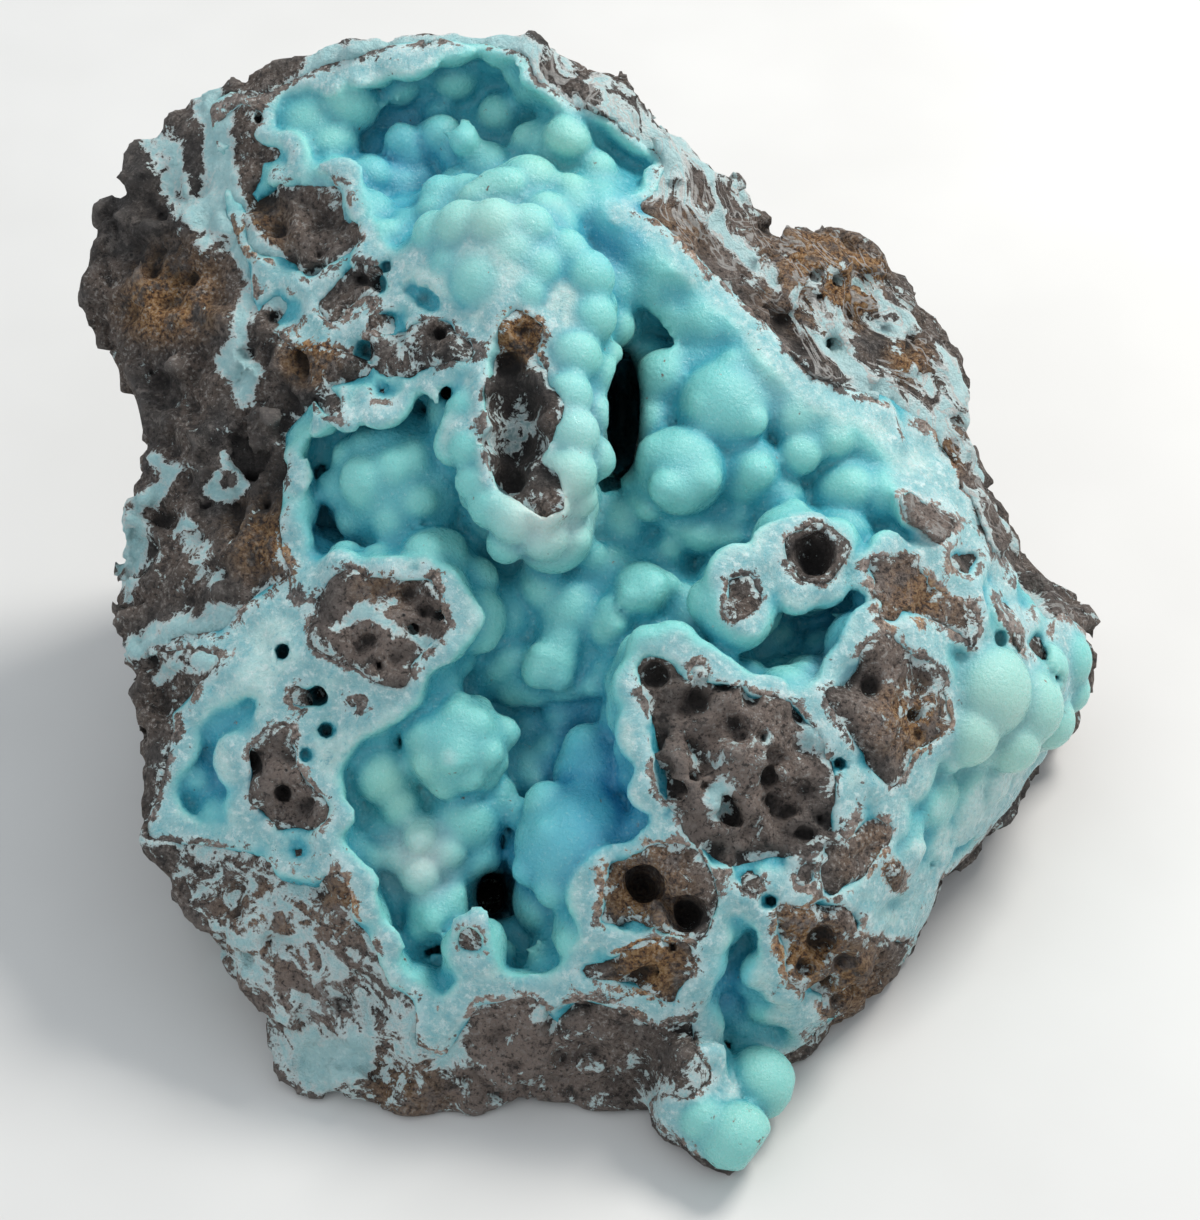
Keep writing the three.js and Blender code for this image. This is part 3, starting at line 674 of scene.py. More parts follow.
rule = crust["secondBalls"]
seats = (np.abs(grown) < onSurface) & (wall > rule["away"]) & (skin < rule["outside"])
index, centres = scatter(seats, rule["spacing"], 6)
radii = dice.uniform(*rule["radius"], len(centres))
addBalls(grown, centres - slope(grown, index) * (radii * rule["sunk"])[:, None], radii, rule["blend"])
say(f"{len(centres)} second balls")

# solids
rock = {
    "under": 0.5,               # how far the rock runs on under the crust
    "sink": (0.3, 0.3),         # how far the rock lies back from the crust's rims, and how unevenly
    "proud": 1.0,               # nothing stands out further than this
    # points with less stone than this around them are worn off: how full, how far around, how fast
    "thinnest": (0.17, 1.5, 12),
    "ragged": 0.5,              # how uneven its pits and pores are
    "crumbs": (0.9, 0.7),       # height of the crumbs 2.1 and 1.2 mm wide
    "onFace": 0.5,              # how much of all this is left on the broken face
    "outside": -16,             # further back than this is the weathered outside
    "fade": 3.0,                # all of it grows in over this distance from the face and from the foot
    "ledges": (0.5, 3.1),       # height and width of the ledges
    "ledgesStray": (1.1, 0.7),     # how far the lumps 7 and 3.2 mm wide move them
    # where they are: across, up, radius, strength
    "ledgeSpots": [
        (-3, 52, 8, 1), (8, 42, 10, 1), (22, 34, 12, 1), (30, 24, 11, 1), (36, 12, 9, 1), (46, 0, 6, 0.8),
        (-28, -38, 10, 0.7),
    ],
    # pits: across, up, radius, depth
    "pits": [
        (-9, 24.5, 2.4, 4), (-8.4, 20.5, 3.0, 5), (-8.2, 16.5, 2.9, 5), (-8.8, 13.4, 2.0, 4),
        (-7.6, 27.6, 1.0, 1.6), (-23.8, 33.2, 0.8, 3), (-22.2, 32.7, 0.7, 2.5), (-21.2, 34.3, 0.6, 2),
        (-23.5, 25.8, 0.9, 3), (-34.3, 49.2, 0.5, 1.5), (-31.8, -4.3, 0.9, 4), (-28.2, -8.4, 1.1, 5),
        (-27.2, -12, 0.9, 3), (-18.5, -1.8, 0.8, 3), (4.3, -27.6, 2.2, 7), (8.5, -30.6, 1.8, 6),
        (2.3, -31.4, 0.9, 3), (5.6, -6.6, 1.3, 2.4), (9.4, -9, 1.4, 2.6), (14, 4.5, 0.5, 2),
        (21.5, 5.6, 2.1, 3), (-8.2, 18.6, 0.7, 1.4), (17, -29, 0.6, 3), (24, -15.5, 0.8, 3),
        (40, -3, 0.5, 2), (22.2, -33.2, 1.5, 3), (24.4, -35.6, 1.2, 2.5), (20.6, -35.4, 0.9, 2),
        (31.5, -10.5, 1.0, 2), (6.8, -29.5, 1.0, 3), (-29.6, -14.6, 0.8, 2), (-31.5, -18.5, 0.8, 2),
        (-19.3, 1.4, 1.6, 1.3), (-17.9, 31.1, 1.2, 1.7), (-16.7, 30.5, 0.9, 1.4), (-19, 32, 0.8, 1.3),
    ],
    "eaten": 2.0,             # how deep the porous places are eaten out, by lumps 1.5, 1.2 and 3.2 mm wide
    "eatenBy": (1.5, 1.3, 0.4),     # how much each of these lumps eats
    "spared": 0.1,            # what they don't reach
    "eatenFrom": (-22, 4),    # further back than this they are whole, over this distance
    # many is their count for each mm2 at full strength, and below the least strength there are none
    "pores": {"many": 0.32, "least": 0.35, "radius": (0.35, 1.1), "longer": (0.7, 1.3), "depth": (0.8, 2.4)},
    # the porous places: across, up, radius, strength
    "porous": [
        (14, -16, 11, 1), (14, -22, 8, 0.6), (-31, 24, 6, 0.9), (-33, 14, 5, 0.7), (-8, 21, 7, 0.4),
        (-30, 38, 7, 0.7), (28, -9, 7, 0.6), (5, -28, 7, 0.6), (-31, -17, 6, 0.6), (-22, -2, 7, 0.5),
        (25, -36, 8, 0.8), (20, 28, 9, 0.4), (-19, 26, 6, 0.6), (-30, -33, 12, 0.35), (-38, 10, 12, 0.4),
        (-44, 38, 10, 0.4), (24, 35, 6, 0.7), (3, -36, 5, 0.6), (-6, -46, 12, 0.25),
    ],
}
near = np.nonzero(np.abs(skin) < 4)
points = np.stack([low[k] + near[k] * step for k in range(3)], 1)
weathered = np.zeros(tuple(counts), np.float32)
weathered[near] = sum(height * chips(points * (1, 1, flatter), width, steepness, seed)
                      for height, width, steepness, flatter, seed in lump["chips"])
openingMap = outlineMap(hollow["opening"])
fromOpening = spread(openingMap)
outside = np.clip(fromOpening / rock["fade"], rock["onFace"], 1)
outside = np.where(gridOut < rock["outside"], 1, outside)
sunk, unevenly = rock["sink"]
crumbs = rock["crumbs"][0] * lumps(2.1, 31) + rock["crumbs"][1] * tiny
height, width = rock["ledges"]
ledge = roughened(fromOpening, rock["ledgesStray"], (wide, small)) / width
ledge = height * (2 * np.abs(ledge - np.floor(ledge) - 0.5) - 0.5)
ledgeMap = np.clip(spotMap(rock["ledgeSpots"]), 0, 1)
ledge = ledge * spread(ledgeMap)
rockSkin = weathered + crumbs + ledge
rockSkin = skin + sunk + unevenly * small + rockSkin * outside * np.clip(gridZ / rock["fade"], 0, 1)
start, over = rock["eatenFrom"]
eaten = spread(np.clip(spotMap(rock["porous"]), 0, 1)) * np.clip((gridOut - start) / over, 0, 1)
bites = roughened(0.0, rock["eatenBy"], (fine, tiny, small)) - rock["spared"]
rockSkin += rock["eaten"] * eaten * np.clip(bites, 0, 1)
rockSkin = np.maximum(np.maximum(rockSkin, skin - rock["proud"]), -gridZ).astype(np.float32)
soft, mouth, rounding = lump["scoopEdge"]
scooped = emptyField()
for scoop in lump["scoops"]:
    addOval(scooped, scoop, soft, mouth)
rockSkin = smoothMax(rockSkin, -(scooped + wallUneven + 0.5 * weathered), rounding)


# a small oval hole straight into the face
def addHole(field, across, up, radiusAcross, radiusUp, depth):
    addOval(field, (across, up, readMap(face, across, up), radiusAcross, radiusUp, depth), 0.3, 1.0, 3.0)


pitted = emptyField()
for across, up, radius, depth in rock["pits"]:
    addHole(pitted, across, up, radius, radius, depth)

pores = emptyField()
rule = rock["pores"]
poreDice = np.random.default_rng(9)
for across, up, radius, strength in rock["porous"]:
    share = max(strength - rule["least"], 0) / (1 - rule["least"])
    for _ in range(int(rule["many"] * share * radius**2)):
        angle, away = poreDice.uniform(0, 2 * math.pi), radius * math.sqrt(poreDice.random())
        poreAcross, poreUp = across + away * math.cos(angle), up + away * math.sin(angle)
        poreRadius, depth = poreDice.uniform(*rule["radius"]), poreDice.uniform(*rule["depth"])
        high = poreRadius * poreDice.uniform(*rule["longer"])
        addHole(pores, poreAcross, poreUp, poreRadius, high, depth)

soft, clear = crust["wholeEdge"]
whole = emptyField()
for across, up, height, radius in crust["whole"]:
    addBalls(whole, [fromSight(across, up, readMap(face, across, up) + height)], [radius], soft)
crustBody = smoothMax(skin + crust["faceUneven"] * fine, grown, crust["edge"])
least, steepness = crust["feather"]
crustBody = np.maximum(crustBody, rockSkin - least - steepness * np.maximum(wall, 0))
crustBody = np.minimum(crustBody, np.maximum(whole, -standing - clear))
soft, mouth, rounding = crust["gapEdge"]
parted = emptyField()
for gap in crust["gaps"]:
    addOval(parted, gap, soft, mouth)
ragged = rock["ragged"] * (fine + tiny)
crustBody = smoothMax(np.maximum(np.maximum(crustBody, -wall), -pitted - ragged), -parted, rounding)
rockBody = np.maximum(np.maximum(rockSkin, wall - rock["under"]), -np.minimum(pitted, pores) - ragged)


# how full of rock or crust the neighbourhood of every grid point is
def stoneAround(reach):
    stone = np.clip(0.5 - np.minimum(rockBody, crustBody) / step, 0, 1)
    return fullness(fullness(stone, reach), reach)


# points and flakes too thin to stand are worn off
thinnest, reach, fast = rock["thinnest"]
worn = (thinnest - stoneAround(reach)) * fast
rockBody, crustBody = np.maximum(rockBody, worn), np.maximum(crustBody, worn)
say("solids")


def triangleCount(piece):
    return sum(len(side.vertices) - 2 for side in piece.data.polygons)


# the surface where a field is 0, as a mesh in metres, thinned to the most triangles a piece may have
def meshOf(name, body, most=190000):
    body = np.clip(body, -2.0, 2.0).astype(np.float32)
    for edge in (0, -1):
        body[edge], body[:, edge], body[:, :, edge] = 2, 2, 2
    volume = openvdb.FloatGrid(background=2.0)
    volume.copyFromArray(body, tolerance=0)
    volume.transform = openvdb.createLinearTransform(voxelSize=step)
    points, triangles, quads = volume.convertToPolygons(isovalue=0.0, adaptivity=0.0)
    mesh = bpy.data.meshes.new(name)
    mesh.vertices.add(len(points))
    mesh.vertices.foreach_set("co", ((points + low) * 0.001).astype(np.float32).ravel())
    corners = np.concatenate([triangles[:, ::-1].ravel(), quads[:, ::-1].ravel()]).astype(np.int32)
    mesh.loops.add(len(corners))
    mesh.loops.foreach_set("vertex_index", corners)
    starts = np.concatenate([np.arange(len(triangles)) * 3, len(triangles) * 3 + np.arange(len(quads)) * 4])
    mesh.polygons.add(len(starts))
    mesh.polygons.foreach_set("loop_start", starts.astype(np.int32))
    mesh.update(calc_edges=True)
    mesh.validate()
    piece = bpy.data.objects.new(name, mesh)
    bpy.context.scene.collection.objects.link(piece)
    keepLargest(piece)
    made = triangleCount(piece)
    if made > most:
        thinner = piece.modifiers.new("thinner", "DECIMATE")
        thinner.ratio = most / made
        solid = bpy.data.meshes.new_from_object(piece.evaluated_get(bpy.context.evaluated_depsgraph_get()))
        piece.modifiers.clear()
        piece.data = solid
        bpy.data.meshes.remove(mesh)
        solid.name = name
    piece.data.shade_smooth()
    say(f"{name}: {made} triangles, then {triangleCount(piece)}")
    return piece


# drops the specks that are not joined to the main body
def keepLargest(piece):
    mesh = piece.data
    edges = np.empty(len(mesh.edges) * 2, np.int32)
    mesh.edges.foreach_get("vertices", edges)
    edges = edges.reshape(-1, 2)
    label = np.arange(len(mesh.vertices))
    while True:
        least = np.minimum(label[edges[:, 0]], label[edges[:, 1]])
        new = label.copy()
        np.minimum.at(new, edges[:, 0], least)
        np.minimum.at(new, edges[:, 1], least)
        new = new[new]
        new = new[new]
        if (new == label).all():
            break
        label = new
    names, sizes = np.unique(label, return_counts=True)
    if len(names) == 1:
        return
    away = np.nonzero(label != names[sizes.argmax()])[0]
    body = bmesh.new()
    body.from_mesh(mesh)
    body.verts.ensure_lookup_table()
    bmesh.ops.delete(body, geom=[body.verts[i] for i in away], context="VERTS")
    body.to_mesh(mesh)
    body.free()


matrixRock = meshOf("matrixRock", rockBody)
hemimorphiteCrust = meshOf("hemimorphiteCrust", crustBody)


# what the finishes read from each point
def pointsOf(piece):
    places = np.empty(len(piece.data.vertices) * 3, np.float32)
    piece.data.vertices.foreach_get("co", places)
    return places.reshape(-1, 3).astype(float) * 1000


def store(piece, name, values):
    kind = "FLOAT" if values.ndim == 1 else "FLOAT_VECTOR"
    layer = piece.data.attributes.new(name, kind, "POINT")
    layer.data.foreach_set("value" if values.ndim == 1 else "vector", values.astype(np.float32).ravel())


# how full of stone the close neighbourhood is: it sets the painted shade in creases and the painted highlight
# on edges
nearFull = stoneAround(1.2)
say("neighbourhoods")

# spots of colour: across, up, radius, strength
tones = {
    "rust": [
        (-42, 32, 5, 1.0), (-45, 30, 3.5, 1.1), (-29, 25.5, 3, 1.3), (22, 35, 7, 1.0), (31, -11, 4, 1.1),
        (20, -33, 4, 1.3), (24, -37, 5, 0.9), (5, -35.5, 4.5, 1.1), (-33, 7, 4.5, 0.9), (32, 1, 4.5, 0.8),
        (-34, 38, 3.5, 0.7), (4, -28, 5.5, 0.9), (-24, -29, 4, 0.7), (28, -25, 4, 0.5),
        (-8, 27.5, 3.2, 1.3), (26.3, 33.6, 2.3, 1.8), (25, 31, 3, 0.9), (31, 25, 2.5, 1.0),
        (-22, 2, 3, 0.5), (8, 38, 4, 0.5), (-33, -31, 6, 0.4), (-20, -48, 6, 0.4), (35, 16, 3, 0.6),
    ],
    # painted shade on the rock: darker in deep pits, in a shadowed hollow, on the shaded left side and low on
    # the front
    "shadespots": [
        (-43, 40, 7, 0.6), (-32, 13, 5, 0.9), (-48, 25, 5, 0.3), (21.5, 5.5, 3, 0.4), (-8.4, 20, 5, 0.9),
        (-8, 15, 4, 0.6), (0, -47, 12, 0.15),
    ],
    "fawn": [
        (-30, -35, 13, 1.0), (-8, -46, 13, 1.3), (34, 10, 12, 0.5), (30, -9, 6, 1.1), (31, 1, 5, 0.7),
        (33, 10, 4, 0.7), (-22, -2, 7, 0.9), (-31, -17, 6, 0.9), (13, -16, 10, 1.2), (10, 36, 12, 0.5),
        (4, -28, 6, 0.6), (28, -22, 5, 0.7), (24, -35, 8, 0.7), (-30, 38, 8, 0.3), (46, -2, 5, 0.6),
    ],
    "green": [
        (-20, -18, 5, 0.8), (15, -49, 9, 0.5), (40, -12, 11, 1.0), (-3, 11, 6, 0.7), (-12, 39, 5, 0.6),
        (-28, 50, 6, 0.4), (24, 16, 6, 0.3), (2, 26, 4, 0.5), (36, 22, 4, 0.6), (29, -27, 5, 0.4),
        (-4, 45.5, 5, 0.8),
    ],
    "blue": [
        (0, -20, 7, 1.2), (-20, 46, 6, 0.7), (-2, -12, 6, 0.7), (2, 38, 4, 0.8), (24, -2, 5, 0.6),
        (-37, -16, 5, 0.6), (13, -38, 4, 0.7), (-8, -26, 5, 0.8), (-28, 8, 4, 0.4),
    ],
    "milky": [
        (-5.6, 10, 5, 1.3), (-2, 18, 5, 0.4), (-18, -25, 4, 1.1), (-8, 27, 6, 0.4), (-28, 40, 4, 0.5),
        (24, -8, 4, 0.5), (-20, -2, 4, 0.4), (20, 24, 6, 0.4), (-8, 14, 3, 0.5), (-11, 37.5, 6, 0.4),
        (40, -11, 9, 0.45), (29, -27, 5, 0.4),
    ],
}
# how much of the rock a thin film covers, 0 to 1
films = {
    "besideCrust": (0.55, 0.7),     # more of it this close to the crust
    "drift": 1.0,                  # how far the outlines wander
    "behind": 0.12,                # on the unseen sides
    "areas": [
        (0.72, [(-8, 57.5), (1, 54), (10, 46), (17, 41), (27, 39), (31, 32), (37, 24), (41, 11), (45, 3),
                (51, -1), (45, -2), (41, 2), (38.5, 6), (33, 9), (28, 18.5), (20, 22), (16, 27.5), (6, 37),
                (1, 41), (4, 42.5), (0, 48), (-8, 51.5)]),
        (0.46, [(-46, -23), (-42, -29), (-37, -36), (-33, -43), (-31, -50), (-20, -50), (-12, -44),
               (-18, -41), (-22, -36), (-25, -30), (-35, -25)]),
        (0.25, [(-20, -50), (-12, -43), (-6, -40), (10, -45), (8, -56), (-8, -52)]),
    ],
    "patches": [
        (-35.5, -34.4, 3, 0.3), (-30, -33.2, 3, 0.25), (-29, -45, 3, 0.7), (-25.5, -44.5, 3, 0.7),
        (-38.6, 37.2, 2.4, 0.7), (24.3, 26.4, 2.5, 0.4), (-48, 8, 5, 0.3), (-20, 26, 3, 0.35),
        (22, 35.5, 5, -0.5), (32.7, 26.7, 2.4, -0.8), (30.5, -9, 4, 0.4), (23, -36, 5, 0.3),
        (13, -16, 7, 0.3), (-8.6, 19, 3, 0.45), (-42, 6, 8, 0.15), (-40, 20, 8, 0.12), (-8.4, 17, 3.5, 0.3),
        (11.2, -19.3, 1.9, 0.8), (21.5, -13, 2.2, 0.6), (9, -14, 1.4, 0.5), (15.5, -12.5, 1.4, 0.6),
        (16.5, -22, 1.3, 0.5), (-33, -44, 4, 0.25), (12, 33, 4, 0.2),
    ],
    "streaks": [
        (1.6, 0.8, [(-44, 46.5), (-42.5, 43), (-40, 39.5)]),
        (1.3, 0.9, [(-39.5, 52.3), (-38.5, 46), (-37.2, 39.5)]), (1.0, 0.9, [(-35.2, 31), (-36.2, 26.1)]),
        (1.2, 0.9, [(-37.2, 25), (-35, 24)]), (0.8, 0.9, [(-35.8, 24), (-35.5, 21)]),
        (1.5, 0.8, [(-34.8, 36), (-31, 32)]),
        (0.7, 0.9, [(-44.4, 14.8), (-42.7, 14.6), (-43.9, 12.2), (-45.8, 10.8)]),
        (1.0, 0.8, [(-46.5, 9), (-47.5, 2)]),
        (0.5, 1.0, [(-37.6, 15.6), (-36.4, 14.4), (-35.2, 12.7), (-36, 11.7), (-38.6, 11.7),
                    (-37.6, 13.5)]),
        (1.0, 0.5, [(-41.2, 8.4), (-39.2, 3.6)]), (1.2, 0.8, [(-46.8, -3.8), (-37.7, -0.8)]),
        (0.8, 0.8, [(-43.8, -6.6), (-40, -5), (-35.9, -2)]), (1.0, -0.6, [(-9, 56), (-1, 51.5)]),
        (0.8, -0.6, [(-7, 52), (0, 49)]),
        (1.8, -0.95, [(2.5, 41), (8, 37), (17.5, 28.5), (21.5, 23), (25.5, 20)]),
        (1.2, -0.6, [(10, 42.5), (16.5, 37), (27, 35)]), (0.8, -0.6, [(22.8, 32), (27.3, 29.8)]),
        (0.9, -0.8, [(30.9, 12), (35, 8)]), (0.7, -0.8, [(27.8, 15.8), (30, 13.8)]),
        (0.8, -0.8, [(34.7, 15.8), (38, 12.7)]), (0.9, -0.8, [(38, 10.2), (41.6, 4.3)]),
        (0.9, -0.8, [(43, 2.3), (48.5, -1.5)]), (0.7, -0.8, [(45.7, -4.6), (47, -7.2)]),
        (1.2, -0.3, [(24, 30), (32, 20), (36, 12)]), (0.8, -0.4, [(27, 37), (30, 31)]),
        (0.45, 0.8, [(-27.1, -1.7), (-24.5, 0), (-21, 0.9)]),
        (2.2, 1.3, [(-27, 53.6), (-20, 54.6), (-10, 56)]),
        (0.45, 0.8, [(-24.5, 0), (-22, -1), (-19.3, -2.6), (-16.4, -3.7)]),
    ],
}
toneMaps = {name: spotMap(tones[name]) for name in ("rust", "shadespots", "milky", "fawn")}
tintMap = spotMap(tones["green"]) - spotMap(tones["blue"])
filmMap = spotMap(films["patches"]) + streakMap(films["streaks"])
for strength, outline in films["areas"]:
    filmMap += strength * np.clip(0.5 - outlineMap(outline) / 2, 0, 1)

# how the values at the points are made, in mm
marks = {
    "front": (-22, 6),            # the unseen sides end this far out, over this distance
    # flat sets the painted shade in creases and the painted highlight on edges
    "flat": (0.5, 4),             # how full of stone a flat place is, and how much a crease counts
    "follow": (0.15, 0.75),       # how much a film follows the layers, and how much more on ledges
    "furthest": 8,                # no gap counts for more
    # the next two set the painted shade in the dark gaps between balls and in the pits
    "holeshade": (0.9, 1.5, 6, 0.3),       # in the dark gaps: strength, reach, depth, start
    "pitShade": (0.9, 1.2, 0.9),       # in the pits: reach, depth, start
    # where a ball shows its broken inside: near the face, from within to without, and off the whole balls
    "cut": ((1.3, 0.5), (1.6, 0.6), 0.5),
    "layer": (1.5, 0.34, 0.2),         # how the layers run with the opening, over the face and through it
}
for piece in (matrixRock, hemimorphiteCrust):
    points = pointsOf(piece)
    across, up, out = toSight(points)
    start, over = marks["front"]
    front = np.clip((out - start) / over, 0, 1)
    gap, proud = sample(wall, points), sample(skin, points)
    flat, much = marks["flat"]
    # painted shade in creases and painted highlight on edges, from how much more stone is around a point than
    # around a flat place
    store(piece, "creaseshade", (sample(nearFull, points) - flat) * much)
    for name, sheet in toneMaps.items():
        store(piece, name, readMap(sheet, across, up) * front)
    store(piece, "tint", readMap(tintMap, across, up) * front)
    more, reach = films["besideCrust"]
    drift = films["drift"] * np.stack([sample(small, points), sample(fine, points)])
    film = readMap(filmMap, across + drift[0], up + drift[1]) * front + films["behind"] * (1 - front)
    store(piece, "film", film + more * np.exp(-np.abs(gap) / reach) * front)
    store(piece, "gap", np.clip(gap, -marks["furthest"], marks["furthest"]))
    least, more = marks["follow"]
    store(piece, "along", np.clip(least + more * readMap(ledgeMap, across, up), 0, 1) * front)
    # painted shade: near black down in the dark gaps between balls and in the pits
    strength, reach, depth, start = marks["holeshade"]
    holeshade = np.clip(strength - sample(parted, points) / reach, 0, 1) * np.clip(-proud / depth - start, 0, 1)
    reach, depth, start = marks["pitShade"]
    pit = np.clip(1 - sample(pitted, points) / reach, 0, 1) * np.clip(-proud / depth - start, 0, 1)
    store(piece, "holeshade", np.maximum(holeshade, strength * pit))
    (inner, rise), (outer, fall), clear = marks["cut"]
    cut = np.clip(inner + proud / rise, 0, 1) * np.clip(outer - proud / fall, 0, 1)
    store(piece, "cut", cut * np.clip(sample(whole, points) / clear, 0, 1))
    ring, flat, through = marks["layer"]
    layers = [readMap(openingMap, across, up) / ring, across * flat, up * flat + out * through]
    store(piece, "layer", np.stack(layers, 1))
    # the place of the wall behind each point, which a fibre keeps along its whole length
    cell = np.clip(np.round((points - low) / step).astype(int), 0, counts - 1)
    store(piece, "root", points - slope(wall, cell) * gap[:, None])
say("point values")


# finishes: every node goes into the tree last made
def put(kind, sockets=None, **settings):
    node = tree.nodes.new("ShaderNode" + kind)
    for name, value in settings.items():
        setattr(node, name, value)
    for name, value in (sockets or {}).items():
        if isinstance(value, bpy.types.NodeSocket):
            tree.links.new(value, node.inputs[name])
        else:
            node.inputs[name].default_value = value
    return node


def calc(operation, a, b=0.0, clamp=False):
    return put("Math", {0: a, 1: b}, operation=operation, use_clamp=clamp).outputs[0]


def times(a, b, clamp=False):
    return calc("MULTIPLY", a, b, clamp)


def plus(a, b):
    return calc("ADD", a, b)


def blend(amount, a, b):
    return put("Mix", {"Factor": amount, "A": a, "B": b}, data_type="RGBA").outputs["Result"]


# a colour with coats over it, one after another: how much of each, and its own colour
def coated(colour, *coats):
    for amount, tone in coats:
        colour = blend(amount, colour, (*tone, 1) if isinstance(tone, tuple) else tone)
    return colour


def ramp(value, low, high, least=0.0, most=1.0):
    sockets = {"Value": value, "From Min": low, "From Max": high, "To Min": least, "To Max": most}
    return put("MapRange", sockets, interpolation_type="SMOOTHSTEP").outputs["Result"]


def noise(vector, scale, detail=3.0, rough=0.55, bend=0.0):
    sockets = {"Vector": vector, "Scale": scale, "Detail": detail, "Roughness": rough, "Distortion": bend}
    return put("TexNoise", sockets).outputs["Fac"]


def attribute(name, output="Fac"):
    return put("Attribute", attribute_name=name).outputs[output]


def material(name):
    made = bpy.data.materials.new(name)
    made.use_nodes = True
    return made, made.node_tree, made.node_tree.nodes["Principled BSDF"]


def placeMm():
    place = put("TexCoord").outputs["Object"]
    return put("VectorMath", {0: place, "Scale": 1000.0}, operation="SCALE").outputs["Vector"]


# a shader node group with named sockets; the kind of an input follows its value
def group(name, inputs, outputs):
    grouped = bpy.data.node_groups.new(name, "ShaderNodeTree")
    kinds = {1: "NodeSocketFloat", 3: "NodeSocketVector", 4: "NodeSocketColor"}
    for socket, value in inputs.items():
        size = len(value) if isinstance(value, tuple) else 1
        made = grouped.interface.new_socket(socket, in_out="INPUT", socket_type=kinds[size])
        made.default_value = value
    for socket, size in outputs.items():
        grouped.interface.new_socket(socket, in_out="OUTPUT", socket_type=kinds[size])
    return grouped, grouped.nodes.new("NodeGroupInput").outputs, grouped.nodes.new("NodeGroupOutput").inputs


def useGroup(grouped, sockets):
    return put("Group", sockets, node_tree=grouped).outputs


# fine grains, and the tiny faces of crystals between them
tree, given, result = group("grain", {"Place": (0.0, 0.0, 0.0), "Size": 0.6}, {"Grain": 1, "Facet": 1})
fineness = calc("DIVIDE", 1.0, given["Size"])
cells = put("TexVoronoi", {"Vector": given["Place"], "Scale": fineness})
tree.links.new(noise(given["Place"], fineness, 4.0, 0.7), result["Grain"])
tree.links.new(put("SeparateColor", {"Color": cells.outputs["Color"]}).outputs[0], result["Facet"])
grain = tree

# where a broken film lies: thin wavy bands along the layers, with granular edges
tree, given, result = group(
    "lace", {"Place": (0.0, 0.0, 0.0), "Layer": (0.0, 0.0, 0.0), "Cover": 0.5, "Along": 0.5},
    {"Mask": 1, "Thickness": 1, "Line": 1})
bands = noise(given["Layer"], 0.5, 5.0, 0.56, 1.7)
crumbs = noise(given["Place"], 0.42, 9.0, 0.72, 0.6)
mixed = put("Mix", {"Factor": given["Along"], "A": crumbs, "B": bands}).outputs["Result"]
specks = times(noise(given["Place"], 1.9, 4.0, 0.75), 0.9)
cover = plus(times(calc("SUBTRACT", mixed, 0.5), 3.4), given["Cover"])
cover = plus(cover, calc("SUBTRACT", specks, 0.45))
tree.links.new(ramp(cover, 0.46, 0.54), result["Mask"])
tree.links.new(ramp(cover, 0.5, 0.95), result["Thickness"])
lines = calc("ABSOLUTE", calc("SUBTRACT", noise(given["Layer"], 0.5, 2.0, 0.5, 1.9), 0.5))
tree.links.new(times(ramp(lines, 0.03, 0.008), ramp(given["Along"], 0.4, 0.9)), result["Line"])
lace = tree

# brown iron rock, crumbly and full of pores; its colour holds painted shade in the pores, creases and low
# places of its bumps, and lighter crests that are partly pale grains and partly painted highlight
tree, given, result = group(
    "limoniteColour", {"Place": (0.0, 0.0, 0.0), "Rust": 0.0, "ShadeSpots": 0.0, "Fawn": 0.0, "CreaseShade": 0.0},
    {"Colour": 4, "Height": 1})
grains = useGroup(grain, {"Place": given["Place"], "Size": 0.5})
broad = noise(given["Place"], 0.13, 5.0, 0.6)
crumbs = noise(given["Place"], 0.6, 8.0, 0.7)
cells = put("TexVoronoi", {"Vector": given["Place"], "Scale": 0.62, "Detail": 1.0})
poreRoom = ramp(noise(given["Place"], 0.3, 3.0, 0.6), 0.44, 0.6)
# pores: pits in the bump, painted near black as painted shade
pores = times(ramp(cells.outputs["Distance"], 0.34, 0.16), poreRoom)
rustRoom = ramp(noise(given["Place"], 0.4, 5.0, 0.7), 0.38, 0.54)
ochre = blend(ramp(grains["Grain"], 0.4, 0.62), (0.2, 0.08, 0.024, 1), (0.56, 0.32, 0.12, 1))
# pale specks on the crests of the grain bump: partly light grains, partly painted highlight
paleSpecksAndGlints = times(ramp(grains["Grain"], 0.54, 0.64, 0.0, 0.9), ramp(broad, 0.42, 0.6, 0.25, 1.0))
colour = coated(
    blend(ramp(broad, 0.36, 0.64), (0.08, 0.07, 0.064, 1), (0.19, 0.14, 0.11, 1)),
    (times(given["Fawn"], 0.85, True), (0.33, 0.255, 0.215)),
    # painted shade in the low places of the crumbs, which also make the bump, and painted highlight on their
    # crests
    (ramp(crumbs, 0.5, 0.34, 0.0, 0.85), (0.03, 0.023, 0.02)),
    (ramp(crumbs, 0.52, 0.66, 0.0, 0.75), (0.31, 0.265, 0.235)),
    (times(given["Rust"], rustRoom, True), ochre),
    # pale specks, then painted shade in the low places of the grain bump and in the pores
    (paleSpecksAndGlints, (0.52, 0.48, 0.44)),
    (ramp(grains["Grain"], 0.46, 0.38, 0.0, 0.8), (0.022, 0.017, 0.015)),
    (pores, (0.008, 0.007, 0.007)),
    # painted shade darkens the creases, and painted highlight lightens the edges
    (ramp(given["CreaseShade"], 0.1, 0.95, 0.0, 0.85), (0.014, 0.011, 0.01)),
    (ramp(given["CreaseShade"], -0.5, -1.3, 0.0, 0.4), (0.36, 0.32, 0.29)),
    # painted shade: darker spots in pits, shadowed hollows and on the shaded left side
    (times(given["ShadeSpots"], 0.7, True), (0.026, 0.022, 0.021)))
tree.links.new(colour, result["Colour"])
height = plus(times(grains["Grain"], 0.35), crumbs)
tree.links.new(calc("SUBTRACT", height, times(pores, 0.4)), result["Height"])
limonite = tree
